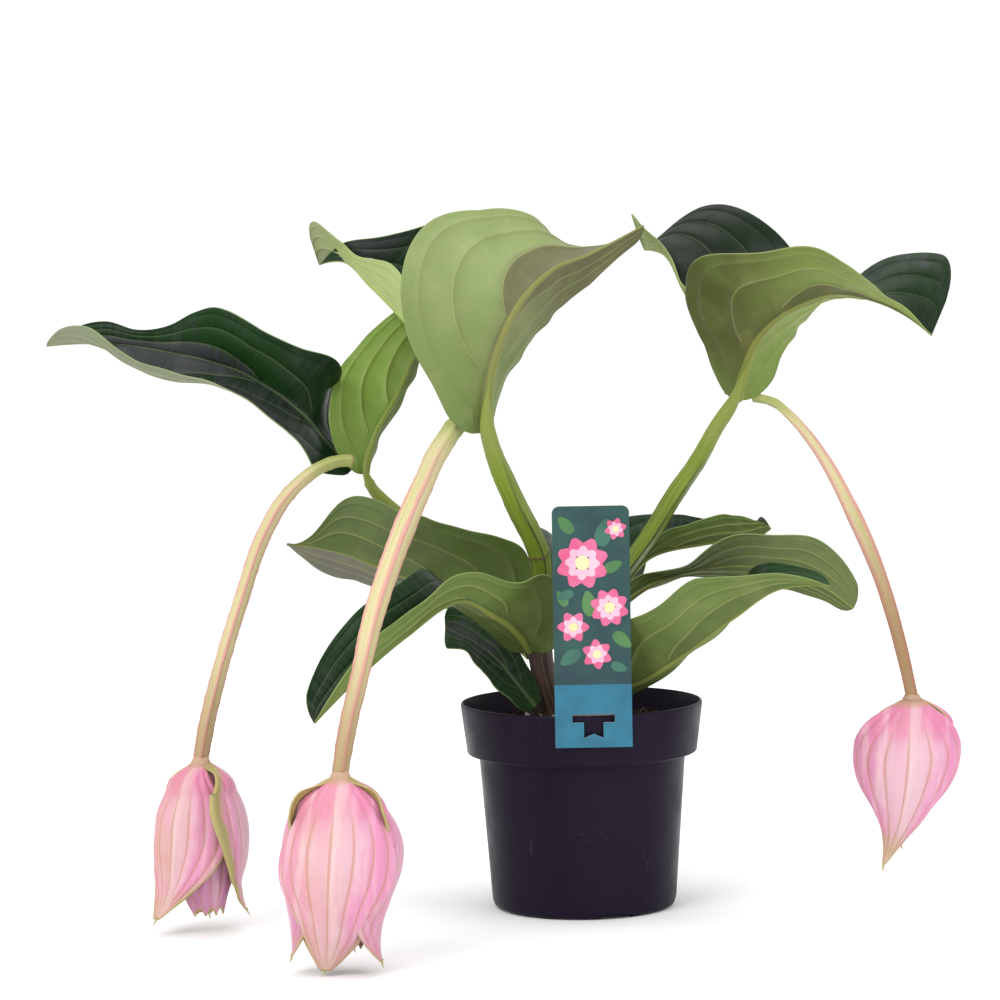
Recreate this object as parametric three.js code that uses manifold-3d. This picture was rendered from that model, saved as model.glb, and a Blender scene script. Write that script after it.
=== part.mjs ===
import * as THREE from 'three';
import { mergeVertices } from 'three/addons/utils/BufferGeometryUtils.js';
import ManifoldModule from 'manifold-3d';

// A medinilla with three hanging flower heads, in its nursery pot with a care label.
// Millimetres, +Z up. The origin is the middle of the pot's base, on the surface that the
// pot stands on, and the label faces -Y.

const GAP = 0.4; // left between pieces that touch

// ---- pot, soil and label ------------------------------------------------------------

const POT = {
  height: 146,
  rimRadius: 85.7, // outside, at the very top
  bandBottomRadius: 81.4, // the thick-looking band below the rim
  bandBottom: 110,
  bodyTopRadius: 73,
  bodyBottomRadius: 65.3,
  footRadius: 61,
  footHeight: 3,
  wall: 1.8,
  padRadius: 13, // flat pad in the middle of the base
  segments: 48,
  drainHoles: 6,
  drainHoleRadius: 5,
  drainHoleCircle: 40,
  notches: 4,
  notchWidth: 24,
  notchTurn: 20, // degrees from the front to the first notch
};

const SOIL = { edge: 127.5, mound: 9, lump: 1.1, lumpSize: 13, rings: 5, segments: 24, holeBottom: 99 };

const LABEL = {
  centreX: 6.5,
  back: -86.4, // y of its back face, just clear of the rim
  thickness: 0.8,
  width: 53,
  bottom: 124.5,
  top: 291,
  corner: 5,
  slotTop: 147.6, // the die-cut slot starts at the rim's top
  armWidth: 29,
  armHeight: 5.8,
  tongueWidth: 13.4,
  tongueLength: 16.6,
  tongueNotch: 3,
  tuckedY: -79.7, // back of the folded tongue, inside the rim
};

// ---- stems and flower stalks ---------------------------------------------------------

const STEMS = [
  {
    name: 'stem_middle',
    colour: 0x55782f,
    path: [[-18, -12, 100], [-18, -12, 118], [-19, -12, 138], [-25, -14, 160], [-29, -18, 185],
      [-28, -24, 221], [-27, -30, 245], [-46, -47, 294], [-59, -58, 327], [-63, -67, 345],
      [-63, -77, 362], [-60, -86, 380]],
    radius: [9, 8.6, 8.2, 7.2, 7, 6.8, 5.6, 3],
  },
  {
    name: 'stem_left',
    colour: 0x6f5a3a,
    path: [[-27, 8, 100], [-27, 8, 138], [-30, 9, 182], [-56, 9, 232], [-105, 8, 265], [-130, 6, 283],
      [-147, 1, 303], [-150, -3, 316], [-147, -1, 330]],
    radius: [6, 5.6, 5, 4.6, 4.8, 4.8, 2.4],
  },
  {
    name: 'stem_right',
    colour: 0x5d8a2c,
    path: [[8, 10, 100], [8, 10, 140], [10, 9, 188], [23, 7, 224], [52, 3, 265], [69, 1, 292],
      [85, -1, 315], [98, -3, 338], [110, -9, 357], [116, -19, 374], [121, -27, 386]],
    radius: [8.4, 7.6, 6.8, 6.4, 6.4, 5.6, 2.6],
  },
];

const STALKS = [
  {
    name: 'stalk_middle',
    path: [[-69, -47, 350], [-76, -48, 351], [-84, -53, 346], [-92, -66, 336],
      [-100, -81, 324], [-106, -96, 311], [-112, -109, 299], [-129, -143, 259],
      [-142, -177, 221], [-150, -205, 187], [-156, -217, 164], [-162, -231, 131.2]],
    radius: [6, 6.4, 6.8, 6.8, 6.2, 5.6, 5.2],
  },
  {
    name: 'stalk_left',
    path: [[-159, -12, 320], [-169, -17, 320], [-179, -22, 317], [-193, -29, 308],
      [-205, -35, 296], [-220, -42, 271], [-236, -50, 227], [-245, -55, 200],
      [-253, -60, 173], [-260, -66, 146], [-265, -73, 119]],
    radius: [3.8, 4.4, 4.8, 4.6, 5, 4.7],
  },
  {
    name: 'stalk_right',
    path: [[125, 10, 358], [141, 4, 354], [149, -3, 347], [164, -14, 329], [173, -21, 315],
      [190, -32, 281], [207, -42, 239], [222, -53, 184], [228, -60, 152.4]],
    radius: [3.2, 3.8, 5.2, 6.2, 5.8, 5.2, 5],
  },
];

const STEM_SECTION = [1.12, 0.94, 1.12, 0.94, 1.12, 0.94, 1.12, 0.94]; // squarish, winged corners

// ---- leaves -----------------------------------------------------------------------------
// midrib: base to tip. up: the side that the upper face looks to, at even stations.
// wide: half widths [left, right] at even stations. rise: how far each half folds up,
// in degrees. Some leaves also have bend, the extra curl across each half in degrees, and
// wave, the ruffle of each margin as [height, count, start].

const LEAF = {
  thickness: 1.1,
  keel: 2.2, // how far the midrib stands out below, at the base
  tipKeel: 0.3,
  neck: 5, // half width of the blade where it meets the stem
  marginWidth: 0.7, // least half width, so that the tip isn't a bare point
  baseRound: 0.09, // shares of the length over which the ends round off
  tipRound: 0.05,
  columns: [-1, -0.55, -0.09, 0, 0.09, 0.55, 1],
};
const STRAIGHT = [[0], [0]]; // no bend
const SMOOTH = [[0, 0, 0], [0, 0, 0]]; // no wave
const LEAF_ROWS = [0, 0.03, 0.09, 0.17, 0.26, 0.35, 0.44, 0.53, 0.62, 0.71, 0.8, 0.88, 0.95, 1];

const LEAVES = [
  {
    name: 'leaf_middle_front',
    midrib: [[-62, -55, 342], [-61, -70, 375], [-53, -82, 404], [-38, -82, 432], [-18, -68, 451],
      [10, -36, 462], [49, 0, 481]],
    up: [[-0.3, 0.95, 0], [-0.2, 0.95, 0.1], [-0.3, 0.9, 0.3]],
    wide: [[20, 36, 46, 44, 30, 16, 6], [23, 42, 78, 80, 40, 28, 18]],
    rise: [[55, 50, 50, 45, 20, 10, 0], [0, -8, 0, 30, 45, 100, 145]],
  },
  {
    name: 'leaf_middle_back',
    midrib: [[-70, -38, 354], [-95, -5, 386], [-121, 22, 417], [-145, 42, 441], [-166, 56, 459],
      [-182, 61, 457]],
    up: [[0.7, 0.1, 0.7], [0.7, 0, 0.7], [0.7, 0, 0.7], [0.5, 0, 0.86], [-0.5, 0, 1]],
    wide: [[14, 30, 40, 46, 48, 43, 30, 14, 46], [10, 40, 72, 97, 87, 30, 0]],
    rise: [[30, 26, 20, 18, 25, 33, 38, 50, 88], [45, 40, 35, 44, 74, 105, 130]],
  },
  {
    name: 'leaf_left_long',
    midrib: [[-159, 9, 313], [-170, 7, 325], [-195, -6, 355], [-236, -8, 384], [-285, 0, 398],
      [-332, 5, 405], [-373, 5, 404]],
    up: [[0.2, -0.5, 0.8], [0, -0.35, 0.94], [0, -0.2, 1]],
    wide: [[12, 28, 34, 34, 36, 42, 34, 28, 6], [10, 22, 32, 44, 40, 42, 49, 33, 17, 11, 15, 11, 0]],
    rise: [[-30, -15, 0, 5, 0, 0, 5, 40, 60], [0, 5, 70, 95, 105, 80, 75, 60, 40]],
    bend: [[0, 5, 10, 40, 90, 150, 120, 60, 0], [0]],
  },
  {
    name: 'leaf_left_upright',
    midrib: [[-150, 4.5, 309], [-144, 8, 334], [-127, 20, 364], [-114, 33, 392], [-100, 47, 414],
      [-90, 53, 426]],
    up: [[-0.2, 0.9, -0.2], [-0.3, 0.8, -0.2], [-0.4, 0.6, 0.2]],
    wide: [[12, 20, 23, 25, 27, 18, 4], [12, 33, 44, 43, 37, 26, 10]],
    rise: [[65, 72, 72, 66, 60, 50, 50], [-5, -10, 0, 15, 30, 25, 20]],
  },
  {
    name: 'leaf_right_front',
    midrib: [[114, 1, 357], [119, -10, 380], [128, -22, 402], [146, -30, 419], [175, -26, 431],
      [212, -8, 425], [252, 10, 400]],
    up: [[-0.5, 0.85, 0], [-0.3, 0.8, 0.4], [0, 0.5, 0.8], [0.4, 0.2, 0.9]],
    wide: [[20, 28, 37, 40, 40, 42, 50, 68, 66],
      [18, 28, 42, 60, 72, 55, 55, 35, 22, 13, 7, 3, 0]],
    rise: [[-15, 8, 26, 32, 30, 24, 30, 56, 72], [65, 55, 14, -8, -15, 5, 10]],
  },
  {
    name: 'leaf_right_back',
    midrib: [[108, 15, 362], [98, 50, 402], [81, 80, 433], [65, 105, 461], [54, 115, 463]],
    up: [[0.7, 0.1, 0.7], [0.7, 0, 0.7], [0.7, 0, 0.7], [0.7, 0, 0.7], [-0.8, 0, 1]],
    wide: [[14, 16, 16, 13, 9, 9, 46], [20, 34, 56, 84, 94, 88, 40]],
    rise: [[30, 25, 20, 15, 15, 30, 85], [60, 60, 60, 60, 60, 40, 0]],
  },
  {
    name: 'leaf_low_left_upper',
    midrib: [[-39, 1, 199], [-77, -3, 225], [-125, -12, 238], [-168, -20, 256], [-205, -25, 263]],
    up: [[0.2, 0.7, 0.6], [0, 0.8, 0.6], [0, 0.8, 0.6]],
    wide: [[12, 30, 46, 48, 47, 50, 53, 54, 52, 49, 39, 8, 0], [14, 20, 22, 20, 22, 20, 0]],
    rise: [[20, 20, 10, 5, 0, 15, 5], [10, 10, 10, 10, 10, 0, 0]],
  },
  {
    name: 'leaf_low_left_long',
    midrib: [[-36, -30, 185], [-48, -52, 204], [-61, -70, 215], [-82, -92, 228], [-120, -118, 207],
      [-155, -137, 179], [-182, -150, 153]],
    up: [[0.1, -0.1, 1], [-0.1, -0.1, 1], [-0.6, 0, 0.8], [-0.6, 0, 0.6]],
    wide: [[26, 44, 25, 30, 30, 17, 0], [22, 24, 36, 30, 34, 28, 10]],
    rise: [[0, 60, 45, 40, 25, 35, 35], [-25, 0, 5, 80, 75, 75, 90]],
    wave: [[2, 3, 0.1], [2.5, 3, 0.3]],
  },
  {
    name: 'leaf_low_left_small',
    midrib: [[-33, -29, 146], [-43, -30, 159], [-64, -31, 184], [-95, -38, 203]],
    up: [[0.3, -0.6, 0.7], [0.3, -0.6, 0.7]],
    wide: [[10, 14, 17, 18, 16, 12, 18], [8, 12, 15, 18, 19, 22, 28]],
    rise: [[0, 0, 0, 0, 0, 0, -10], [20, 20, 20, 20, 20, 10, -15]],
  },
  {
    name: 'leaf_low_right_upper',
    midrib: [[34, 15, 227], [46, 22, 242], [92, 14, 255], [126, 5, 259], [136, 2, 266]],
    up: [[0, 0.1, 1], [0, 0.1, 1]],
    wide: [[16, 36, 31, 23, 19, 18, 18], [6, 11, 15, 20, 25, 25, 14]],
    rise: [[60, 65, 60, 60, 50, 40, 55], [45, 45, 45, 45, 45, 50, 45]],
  },
  {
    name: 'leaf_low_right_middle',
    midrib: [[25, -3, 209], [45, -12, 226], [77, -30, 240], [118, -42, 244], [156, -48, 235],
      [189, -48, 213]],
    up: [[0, 0.2, 1], [0, 0.4, 0.9], [0, 0.8, 0.6], [0.3, 0.8, 0.5]],
    wide: [[12, 24, 30, 30, 24, 16, 8], [8, 10, 13, 31, 37, 26, 10]],
    rise: [[20, 15, 10, 10, 15, 20, 10], [50, 40, -10, 0, -10, 20, 50]],
  },
  {
    name: 'leaf_low_right_near',
    midrib: [[0, -18, 150], [37, -46, 163], [69, -76, 186], [103, -103, 214], [135, -125, 236],
      [166, -130, 237]],
    up: [[-0.2, 0.7, 0.7], [-0.2, 0.7, 0.7], [0, 0.5, 0.8]],
    wide: [[20, 32, 38, 48, 44, 25, 10], [20, 36, 46, 42, 38, 15, 0]],
    rise: [[5, 25, 35, 40, 65, 75, 65], [30, 30, 30, 20, 30, 25, 20]],
  },
  {
    name: 'leaf_low_rear',
    midrib: [[9, 20, 192], [10, 60, 222], [8, 105, 240], [4, 150, 240], [0, 188, 226]],
    up: [[0, -0.2, 1], [0, 0, 1]],
    wide: [[8, 30, 42, 46, 40, 24, 0], [8, 30, 42, 46, 40, 24, 0]],
    rise: [[25], [20]],
    wave: [[3, 2, 0], [3, 2, 0.3]],
  },
  {
    name: 'leaf_low_rear_left',
    midrib: [[-36, 18, 176], [-70, 50, 200], [-100, 85, 212], [-128, 118, 208], [-150, 142, 190]],
    up: [[0, -0.1, 1], [0, 0, 1]],
    wide: [[8, 26, 38, 42, 36, 22, 0], [8, 26, 38, 42, 36, 22, 0]],
    rise: [[25], [25]],
    wave: [[3, 2, 0.1], [3, 2, 0.5]],
  },
];

// ---- flower heads -------------------------------------------------------------------------
// Each bract hangs from the top of its head. face: the way its middle looks, in degrees
// from the front, turning to the right. reach: how far its midline stands out from the
// head's axis, at even stations. half: half widths, wrapped round the axis. flare: how far
// the [left, right] margins stand off the wrap in the middle. lap: how far they lie over
// their neighbours above it, and as far under them below. sway: where the tip leans.

const BRACT = { thickness: 1, marginWidth: 0.7, widestTurn: 2.4, columns: [-1, -0.5, 0, 0.5, 1] };
const HEAD_CAP = { radius: 9, flat: 0.7, drop: 6 }; // the knob that the bracts hang from
const BUDS = { stalk: 2.5, neck: 6, sides: 8, bud: 5, long: 1.25, first: 14, last: 3 };
const BRACT_ROWS = [0, 0.1, 0.23, 0.38, 0.54, 0.7, 0.85, 1];

const HEADS = [
  {
    name: 'middle',
    top: [-162, -231, 129],
    foot: [-7, -8],
    bracts: [
      {
        face: -5, length: 125, reach: [5, 27, 37, 38, 30, 17, 6],
        half: [6, 37, 50, 46, 33, 22, 3], flare: [-2, 4], lap: [-1, -3], sway: [-4, 0],
      },
      {
        face: 88, length: 120, reach: [5, 27, 39, 40, 33, 26, 26],
        half: [6, 14, 17, 38, 34, 22, 4], flare: [-7, 2], lap: [3, 0], sway: [6, 0],
      },
      {
        face: -92, length: 117, reach: [5, 27, 34, 33, 31, 27, 27],
        half: [6, 14, 17, 36, 30, 18, 4], flare: [2, -7], lap: [0, 3], sway: [0, 4],
      },
      {
        face: 178, length: 116, reach: [5, 22, 31, 31, 28, 23, 18],
        half: [6, 30, 44, 42, 36, 28, 12], flare: [0, 0], lap: [0, 0], sway: [12, 0],
      },
    ],
    buds: { start: 16, length: 78, radius: 15, count: 13 },
  },
  {
    name: 'left',
    top: [-265, -73, 117.5],
    foot: [-2, 0],
    bracts: [
      {
        face: -35, length: 105, reach: [5, 20, 28, 29, 27, 25, 30],
        half: [6, 26, 38, 40, 30, 16, 2], flare: [0, 3], lap: [0, -2], sway: [-12, 0],
      },
      {
        face: 80, length: 103, reach: [5, 21, 29, 31, 29, 24, 28],
        half: [6, 24, 34, 32, 24, 12, 0], flare: [4, 0], lap: [2, 0], sway: [4, 0],
      },
      {
        face: 20, length: 106, reach: [4, 16, 24, 25, 22, 18, 14],
        half: [6, 22, 32, 34, 30, 24, 12], flare: [-2, -2], lap: [0, 0], sway: [2, 0],
      },
      {
        face: 178, length: 102, reach: [5, 20, 28, 29, 25, 18, 12],
        half: [6, 28, 40, 38, 28, 14, 0], flare: [0, 0], lap: [0, 0], sway: [0, 0],
      },
    ],
    buds: { start: 15, length: 92, radius: 12, count: 13 },
  },
  {
    name: 'right',
    top: [228, -60, 150.5],
    foot: [-4, -2],
    bracts: [
      {
        face: -8, length: 115, reach: [9, 29, 33, 30, 21, 9, 3],
        half: [8, 36, 52, 44, 30, 13, 0], flare: [2, -1], lap: [5, 3], sway: [-17, 0],
      },
      {
        face: 120, length: 101, reach: [7, 26, 30, 29, 23, 13, 4],
        half: [6, 30, 42, 38, 26, 12, 0], flare: [-3, 0], lap: [0, 0], sway: [-8, 0],
      },
      {
        face: -130, length: 96, reach: [5, 24, 31, 27, 18, 10, 5],
        half: [6, 30, 40, 36, 26, 12, 0], flare: [0, -3], lap: [0, 0], sway: [0, 0],
      },
    ],
    buds: { start: 16, length: 62, radius: 12, count: 11 },
  },
];

// ---- shared geometry --------------------------------------------------------------------------

const wasm = await ManifoldModule();
wasm.setup();

/** Smooth curve through values (lists of equal length) at rising knots, at t. */
function through(knots, values, t) {
  const last = knots.length - 1;
  if (last === 0) return values[0];
  let i = 0;
  while (i < last - 1 && t > knots[i + 1]) i += 1;
  const step = (k) => knots[k + 1] - knots[k];
  const chordSlope = (k, c) => (values[k + 1][c] - values[k][c]) / step(k);
  const inner = (k, c) =>
    (chordSlope(k - 1, c) * step(k) + chordSlope(k, c) * step(k - 1)) / (step(k) + step(k - 1));
  const slope = (k, c) => {
    if (last === 1) return chordSlope(0, c);
    if (k === 0) return 2 * chordSlope(0, c) - inner(1, c);
    if (k === last) return 2 * chordSlope(last - 1, c) - inner(last - 1, c);
    return inner(k, c);
  };
  const h = step(i);
  const u = (t - knots[i]) / h;
  return values[i].map((value, c) =>
    (1 + 2 * u) * (1 - u) ** 2 * value + u * (1 - u) ** 2 * h * slope(i, c)
    + u * u * (3 - 2 * u) * values[i + 1][c] + u * u * (u - 1) * h * slope(i + 1, c));
}

/** A list given at even stations from base to tip, read at t. */
function along(list, t) {
  const knots = list.map((_, i) => (list.length > 1 ? i / (list.length - 1) : 0));
  return through(knots, list.map((v) => (Array.isArray(v) ? v : [v])), t);
}

/** A point on the smooth curve through the points, t measured along their chords. */
function onPath(points, t) {
  const knots = [0];
  for (let i = 1; i < points.length; i += 1) {
    knots.push(knots[i - 1] + Math.hypot(...points[i].map((v, c) => v - points[i - 1][c])));
  }
  const total = knots[knots.length - 1];
  return new THREE.Vector3(...through(knots.map((k) => k / total), points, t));
}

function tangentOn(points, t) {
  const reach = 0.002;
  const ahead = onPath(points, Math.min(t + reach, 1));
  return ahead.sub(onPath(points, Math.max(t - reach, 0))).normalize();
}

/** A closed geometry from a list of points and a list of triangles. */
function geometryOf(points, triangles) {
  const geometry = new THREE.BufferGeometry();
  const positions = new Float32Array(points.flatMap((p) => [p.x, p.y, p.z]));
  geometry.setAttribute('position', new THREE.BufferAttribute(positions, 3));
  geometry.setIndex(triangles.flat());
  return geometry;
}

/** A thin solid: a grid of points thickened along its normals, faces split alike. */
function bladeGeometry(surface, rows, columns, above, below) {
  const grid = rows.map((s) => columns.map((v) => surface(s, v)));
  const normalAt = (i, j) => {
    const n = rows.length - 1;
    const m = columns.length - 1;
    const alongRow = grid[i][Math.min(j + 1, m)].clone().sub(grid[i][Math.max(j - 1, 0)]);
    const alongLeaf = grid[Math.min(i + 1, n)][j].clone().sub(grid[Math.max(i - 1, 0)][j]);
    return alongRow.cross(alongLeaf).normalize();
  };
  const points = [];
  for (const [offset, sign] of [[above, 1], [below, -1]]) {
    rows.forEach((s, i) => columns.forEach((v, j) => {
      points.push(grid[i][j].clone().addScaledVector(normalAt(i, j), sign * offset(s, v)));
    }));
  }
  const width = columns.length;
  const lower = rows.length * width;
  const triangles = [];
  for (let i = 0; i < rows.length - 1; i += 1) {
    for (let j = 0; j < width - 1; j += 1) {
      const [a, b] = [i * width + j, i * width + j + 1];
      const [c, d] = [b + width, a + width];
      triangles.push([a, b, c], [a, c, d]);
      triangles.push([lower + a, lower + c, lower + b], [lower + a, lower + d, lower + c]);
    }
  }
  const edge = (a, b) => triangles.push([b, a, lower + a], [b, lower + a, lower + b]);
  const end = (rows.length - 1) * width;
  for (let j = 0; j < width - 1; j += 1) {
    edge(j, j + 1);
    edge(end + j + 1, end + j);
  }
  for (let i = 0; i < rows.length - 1; i += 1) {
    edge((i + 1) * width, i * width);
    edge(i * width + width - 1, (i + 1) * width + width - 1);
  }
  return geometryOf(points, triangles);
}

/** A tapering stalk along a path, its section a ring of radius factors, ends closed. */
function stalkGeometry(path, radius, section, steps) {
  const points = [];
  const triangles = [];
  const sides = section.length;
  let across = new THREE.Vector3(0, 1, 0);
  for (let i = 0; i <= steps; i += 1) {
    const t = i / steps;
    const centre = onPath(path, t);
    const tangent = tangentOn(path, t);
    across = across.addScaledVector(tangent, -across.dot(tangent)).normalize();
    const side = new THREE.Vector3().crossVectors(tangent, across);
    for (let k = 0; k < sides; k += 1) {
      const turn = (2 * Math.PI * (k + 0.5)) / sides;
      const reach = along(radius, t)[0] * section[k];
      points.push(centre.clone().addScaledVector(across, reach * Math.cos(turn))
        .addScaledVector(side, reach * Math.sin(turn)));
    }
  }
  for (let i = 0; i < steps; i += 1) {
    for (let k = 0; k < sides; k += 1) {
      const [a, b] = [i * sides + k, i * sides + ((k + 1) % sides)];
      triangles.push([a, b, b + sides], [a, b + sides, a + sides]);
    }
  }
  points.push(onPath(path, 0), onPath(path, 1));
  const [start, end] = [points.length - 2, points.length - 1];
  for (let k = 0; k < sides; k += 1) {
    const next = (k + 1) % sides;
    triangles.push([start, next, k], [end, steps * sides + k, steps * sides + next]);
  }
  return geometryOf(points, triangles);
}

/** The geometry as a solid that can be joined and cut. */
function solidOf(geometry) {
  geometry.deleteAttribute('normal');
  geometry.deleteAttribute('uv');
  const merged = mergeVertices(geometry, 1e-4);
  return new wasm.Manifold(new wasm.Mesh({
    numProp: 3,
    vertProperties: new Float32Array(merged.attributes.position.array),
    triVerts: new Uint32Array(merged.index.array),
  }));
}

/** The outer skin of a solid, with sealed hollows filled and loose scraps dropped. */
function wholeOf(solid) {
  return solid.decompose().reduce((best, next) => (next.volume() > best.volume() ? next : best));
}

function geometryFrom(solid) {
  const mesh = wholeOf(solid).getMesh();
  const geometry = new THREE.BufferGeometry();
  geometry.setAttribute('position', new THREE.BufferAttribute(mesh.vertProperties, 3));
  geometry.setIndex(new THREE.BufferAttribute(mesh.triVerts, 1));
  return geometry;
}

/** A solid of revolution round Z from [radius, height] pairs. */
function turned(profile, segments) {
  const points = profile.map(([radius, height]) => new THREE.Vector2(radius, height));
  return new THREE.LatheGeometry(points, segments).rotateX(Math.PI / 2);
}

function upright(radius, bottom, top, x, y, sides) {
  return new THREE.CylinderGeometry(radius, radius, top - bottom, sides)
    .rotateX(Math.PI / 2).translate(x, y, (bottom + top) / 2);
}

const group = new THREE.Group();

function addPiece(name, geometry, colour, roughness) {
  const material = new THREE.MeshStandardMaterial({ color: colour, roughness, metalness: 0 });
  const mesh = new THREE.Mesh(geometry, material);
  mesh.name = name;
  group.add(mesh);
}

// ---- pieces ---------------------------------------------------------------------------------------

function potSolid() {
  const { height, wall, footHeight, padRadius, footRadius, bandBottom } = POT;
  const floorTop = footHeight + wall;
  let solid = solidOf(turned([
    [0, 0], [padRadius, 0], [padRadius + 2, footHeight], [footRadius - 5, footHeight],
    [footRadius - 3.5, 0], [footRadius, 0], [footRadius + 3, 2], [POT.bodyBottomRadius, 6],
    [POT.bodyTopRadius, bandBottom - 2], [POT.bodyTopRadius + 1.2, bandBottom - 0.4],
    [POT.bandBottomRadius - 1, bandBottom], [POT.bandBottomRadius, bandBottom + 0.8],
    [POT.rimRadius, height - 1.4], [POT.rimRadius - 0.6, height], [POT.rimRadius - wall, height],
    [POT.bandBottomRadius - wall, bandBottom + wall], [POT.bodyTopRadius - wall, bandBottom],
    [POT.bodyBottomRadius - wall, floorTop + 2], [POT.bodyBottomRadius - wall - 3, floorTop],
    [0, floorTop],
  ], POT.segments));
  for (let i = 0; i < POT.drainHoles; i += 1) {
    const turn = (2 * Math.PI * i) / POT.drainHoles;
    solid = solid.subtract(solidOf(upright(POT.drainHoleRadius, -1, floorTop + 1,
      POT.drainHoleCircle * Math.cos(turn), POT.drainHoleCircle * Math.sin(turn), 12)));
  }
  for (let i = 0; i < POT.notches; i += 1) {
    const turn = ((POT.notchTurn - 90 + (360 * i) / POT.notches) * Math.PI) / 180;
    const notch = new THREE.BoxGeometry(16, POT.notchWidth, 2 * footHeight - 1)
      .translate(footRadius, 0, 0).rotateZ(turn);
    solid = solid.subtract(solidOf(notch));
  }
  return solid;
}

function soilSolid() {
  const { edge, mound, lump, lumpSize, rings } = SOIL;
  const bottom = POT.footHeight + POT.wall + GAP;
  const edgeRadius = POT.rimRadius - POT.wall - GAP
    - ((POT.height - edge) * (POT.rimRadius - POT.bandBottomRadius)) / (POT.height - POT.bandBottom);
  const side = [
    [POT.bodyBottomRadius - POT.wall - 3.6, bottom],
    [POT.bodyBottomRadius - POT.wall - GAP, bottom + 2.4],
    [POT.bodyTopRadius - POT.wall - GAP, POT.bandBottom + GAP],
    [POT.bandBottomRadius - POT.wall - GAP - 0.6, POT.bandBottom + POT.wall + GAP],
    [edgeRadius, edge],
  ];
  const top = [];
  for (let i = 1; i < rings; i += 1) {
    const radius = edgeRadius * (1 - i / rings);
    top.push([radius, edge + mound * (1 - (radius / edgeRadius) ** 2)]);
  }
  const geometry = turned([[0, bottom], ...side, ...top, [0, edge + mound]], SOIL.segments);
  const position = geometry.attributes.position;
  for (let i = 0; i < position.count; i += 1) {
    const [x, y, z] = [position.getX(i), position.getY(i), position.getZ(i)];
    const inside = 1 - Math.hypot(x, y) / edgeRadius;
    if (z > edge + 0.01 && inside > 0.01) {
      const rough = Math.sin(x / lumpSize * 3.1 + 1) * Math.cos(y / lumpSize * 2.7)
        + Math.sin((x + 2 * y) / lumpSize * 1.3);
      position.setZ(i, z + lump * rough * Math.min(1, 8 * inside));
    }
  }
  let solid = solidOf(geometry);
  for (const stem of STEMS) {
    const [x, y] = stem.path[0];
    const radius = stem.radius[0] * STEM_SECTION[0] + 2 * GAP;
    solid = solid.subtract(solidOf(upright(radius, SOIL.holeBottom, POT.height, x, y, 16)));
  }
  return solid;
}

function labelSolid() {
  const { width, bottom, top, corner, thickness, centreX, back, slotTop } = LABEL;
  const { armWidth, armHeight, tongueWidth, tongueLength, tongueNotch, tuckedY } = LABEL;
  const half = width / 2;
  const outline = new THREE.Shape();
  outline.moveTo(-half, bottom);
  outline.lineTo(half, bottom);
  outline.lineTo(half, top - corner);
  outline.absarc(half - corner, top - corner, corner, 0, Math.PI / 2);
  outline.absarc(corner - half, top - corner, corner, Math.PI / 2, Math.PI);
  outline.lineTo(-half, bottom);
  /** The tongue's outline, a T with a swallowtail foot, its top at the given height. */
  const tongue = (head) => [
    [-armWidth / 2, head], [armWidth / 2, head], [armWidth / 2, slotTop - armHeight],
    [tongueWidth / 2, slotTop - armHeight], [tongueWidth / 2, slotTop - tongueLength],
    [0, slotTop - tongueLength + tongueNotch], [-tongueWidth / 2, slotTop - tongueLength],
    [-tongueWidth / 2, slotTop - armHeight], [-armWidth / 2, slotTop - armHeight],
  ].map(([x, z]) => new THREE.Vector2(x, z));
  outline.holes.push(new THREE.Path(tongue(slotTop)));
  const flat = { depth: thickness, bevelEnabled: false, curveSegments: 5 };
  // an extrusion stands along +Z, so it is turned to face -Y, its back at the given y
  const standing = (shape, y) => new THREE.ExtrudeGeometry(shape, flat)
    .rotateX(Math.PI / 2).translate(centreX, y, 0);
  const face = solidOf(standing(outline, back));
  const tucked = solidOf(standing(new THREE.Shape(tongue(slotTop + thickness)), tuckedY));
  // the fold runs over the rim, from inside the face to inside the tongue
  const [foldStart, foldEnd] = [back - thickness / 2, tuckedY - thickness / 2];
  const fold = new THREE.BoxGeometry(armWidth - thickness, foldEnd - foldStart, thickness)
    .translate(centreX, (foldStart + foldEnd) / 2, slotTop + thickness * 0.75);
  return face.add(tucked).add(solidOf(fold));
}

/** Rounds a leaf's base and tip: 0 at the very ends, 1 along the blade. */
function endRound(s) {
  const base = Math.min(1, s / LEAF.baseRound);
  const tip = Math.min(1, (1 - s) / LEAF.tipRound);
  return Math.sqrt(base * (2 - base)) * Math.sqrt(tip * (2 - tip));
}

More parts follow.
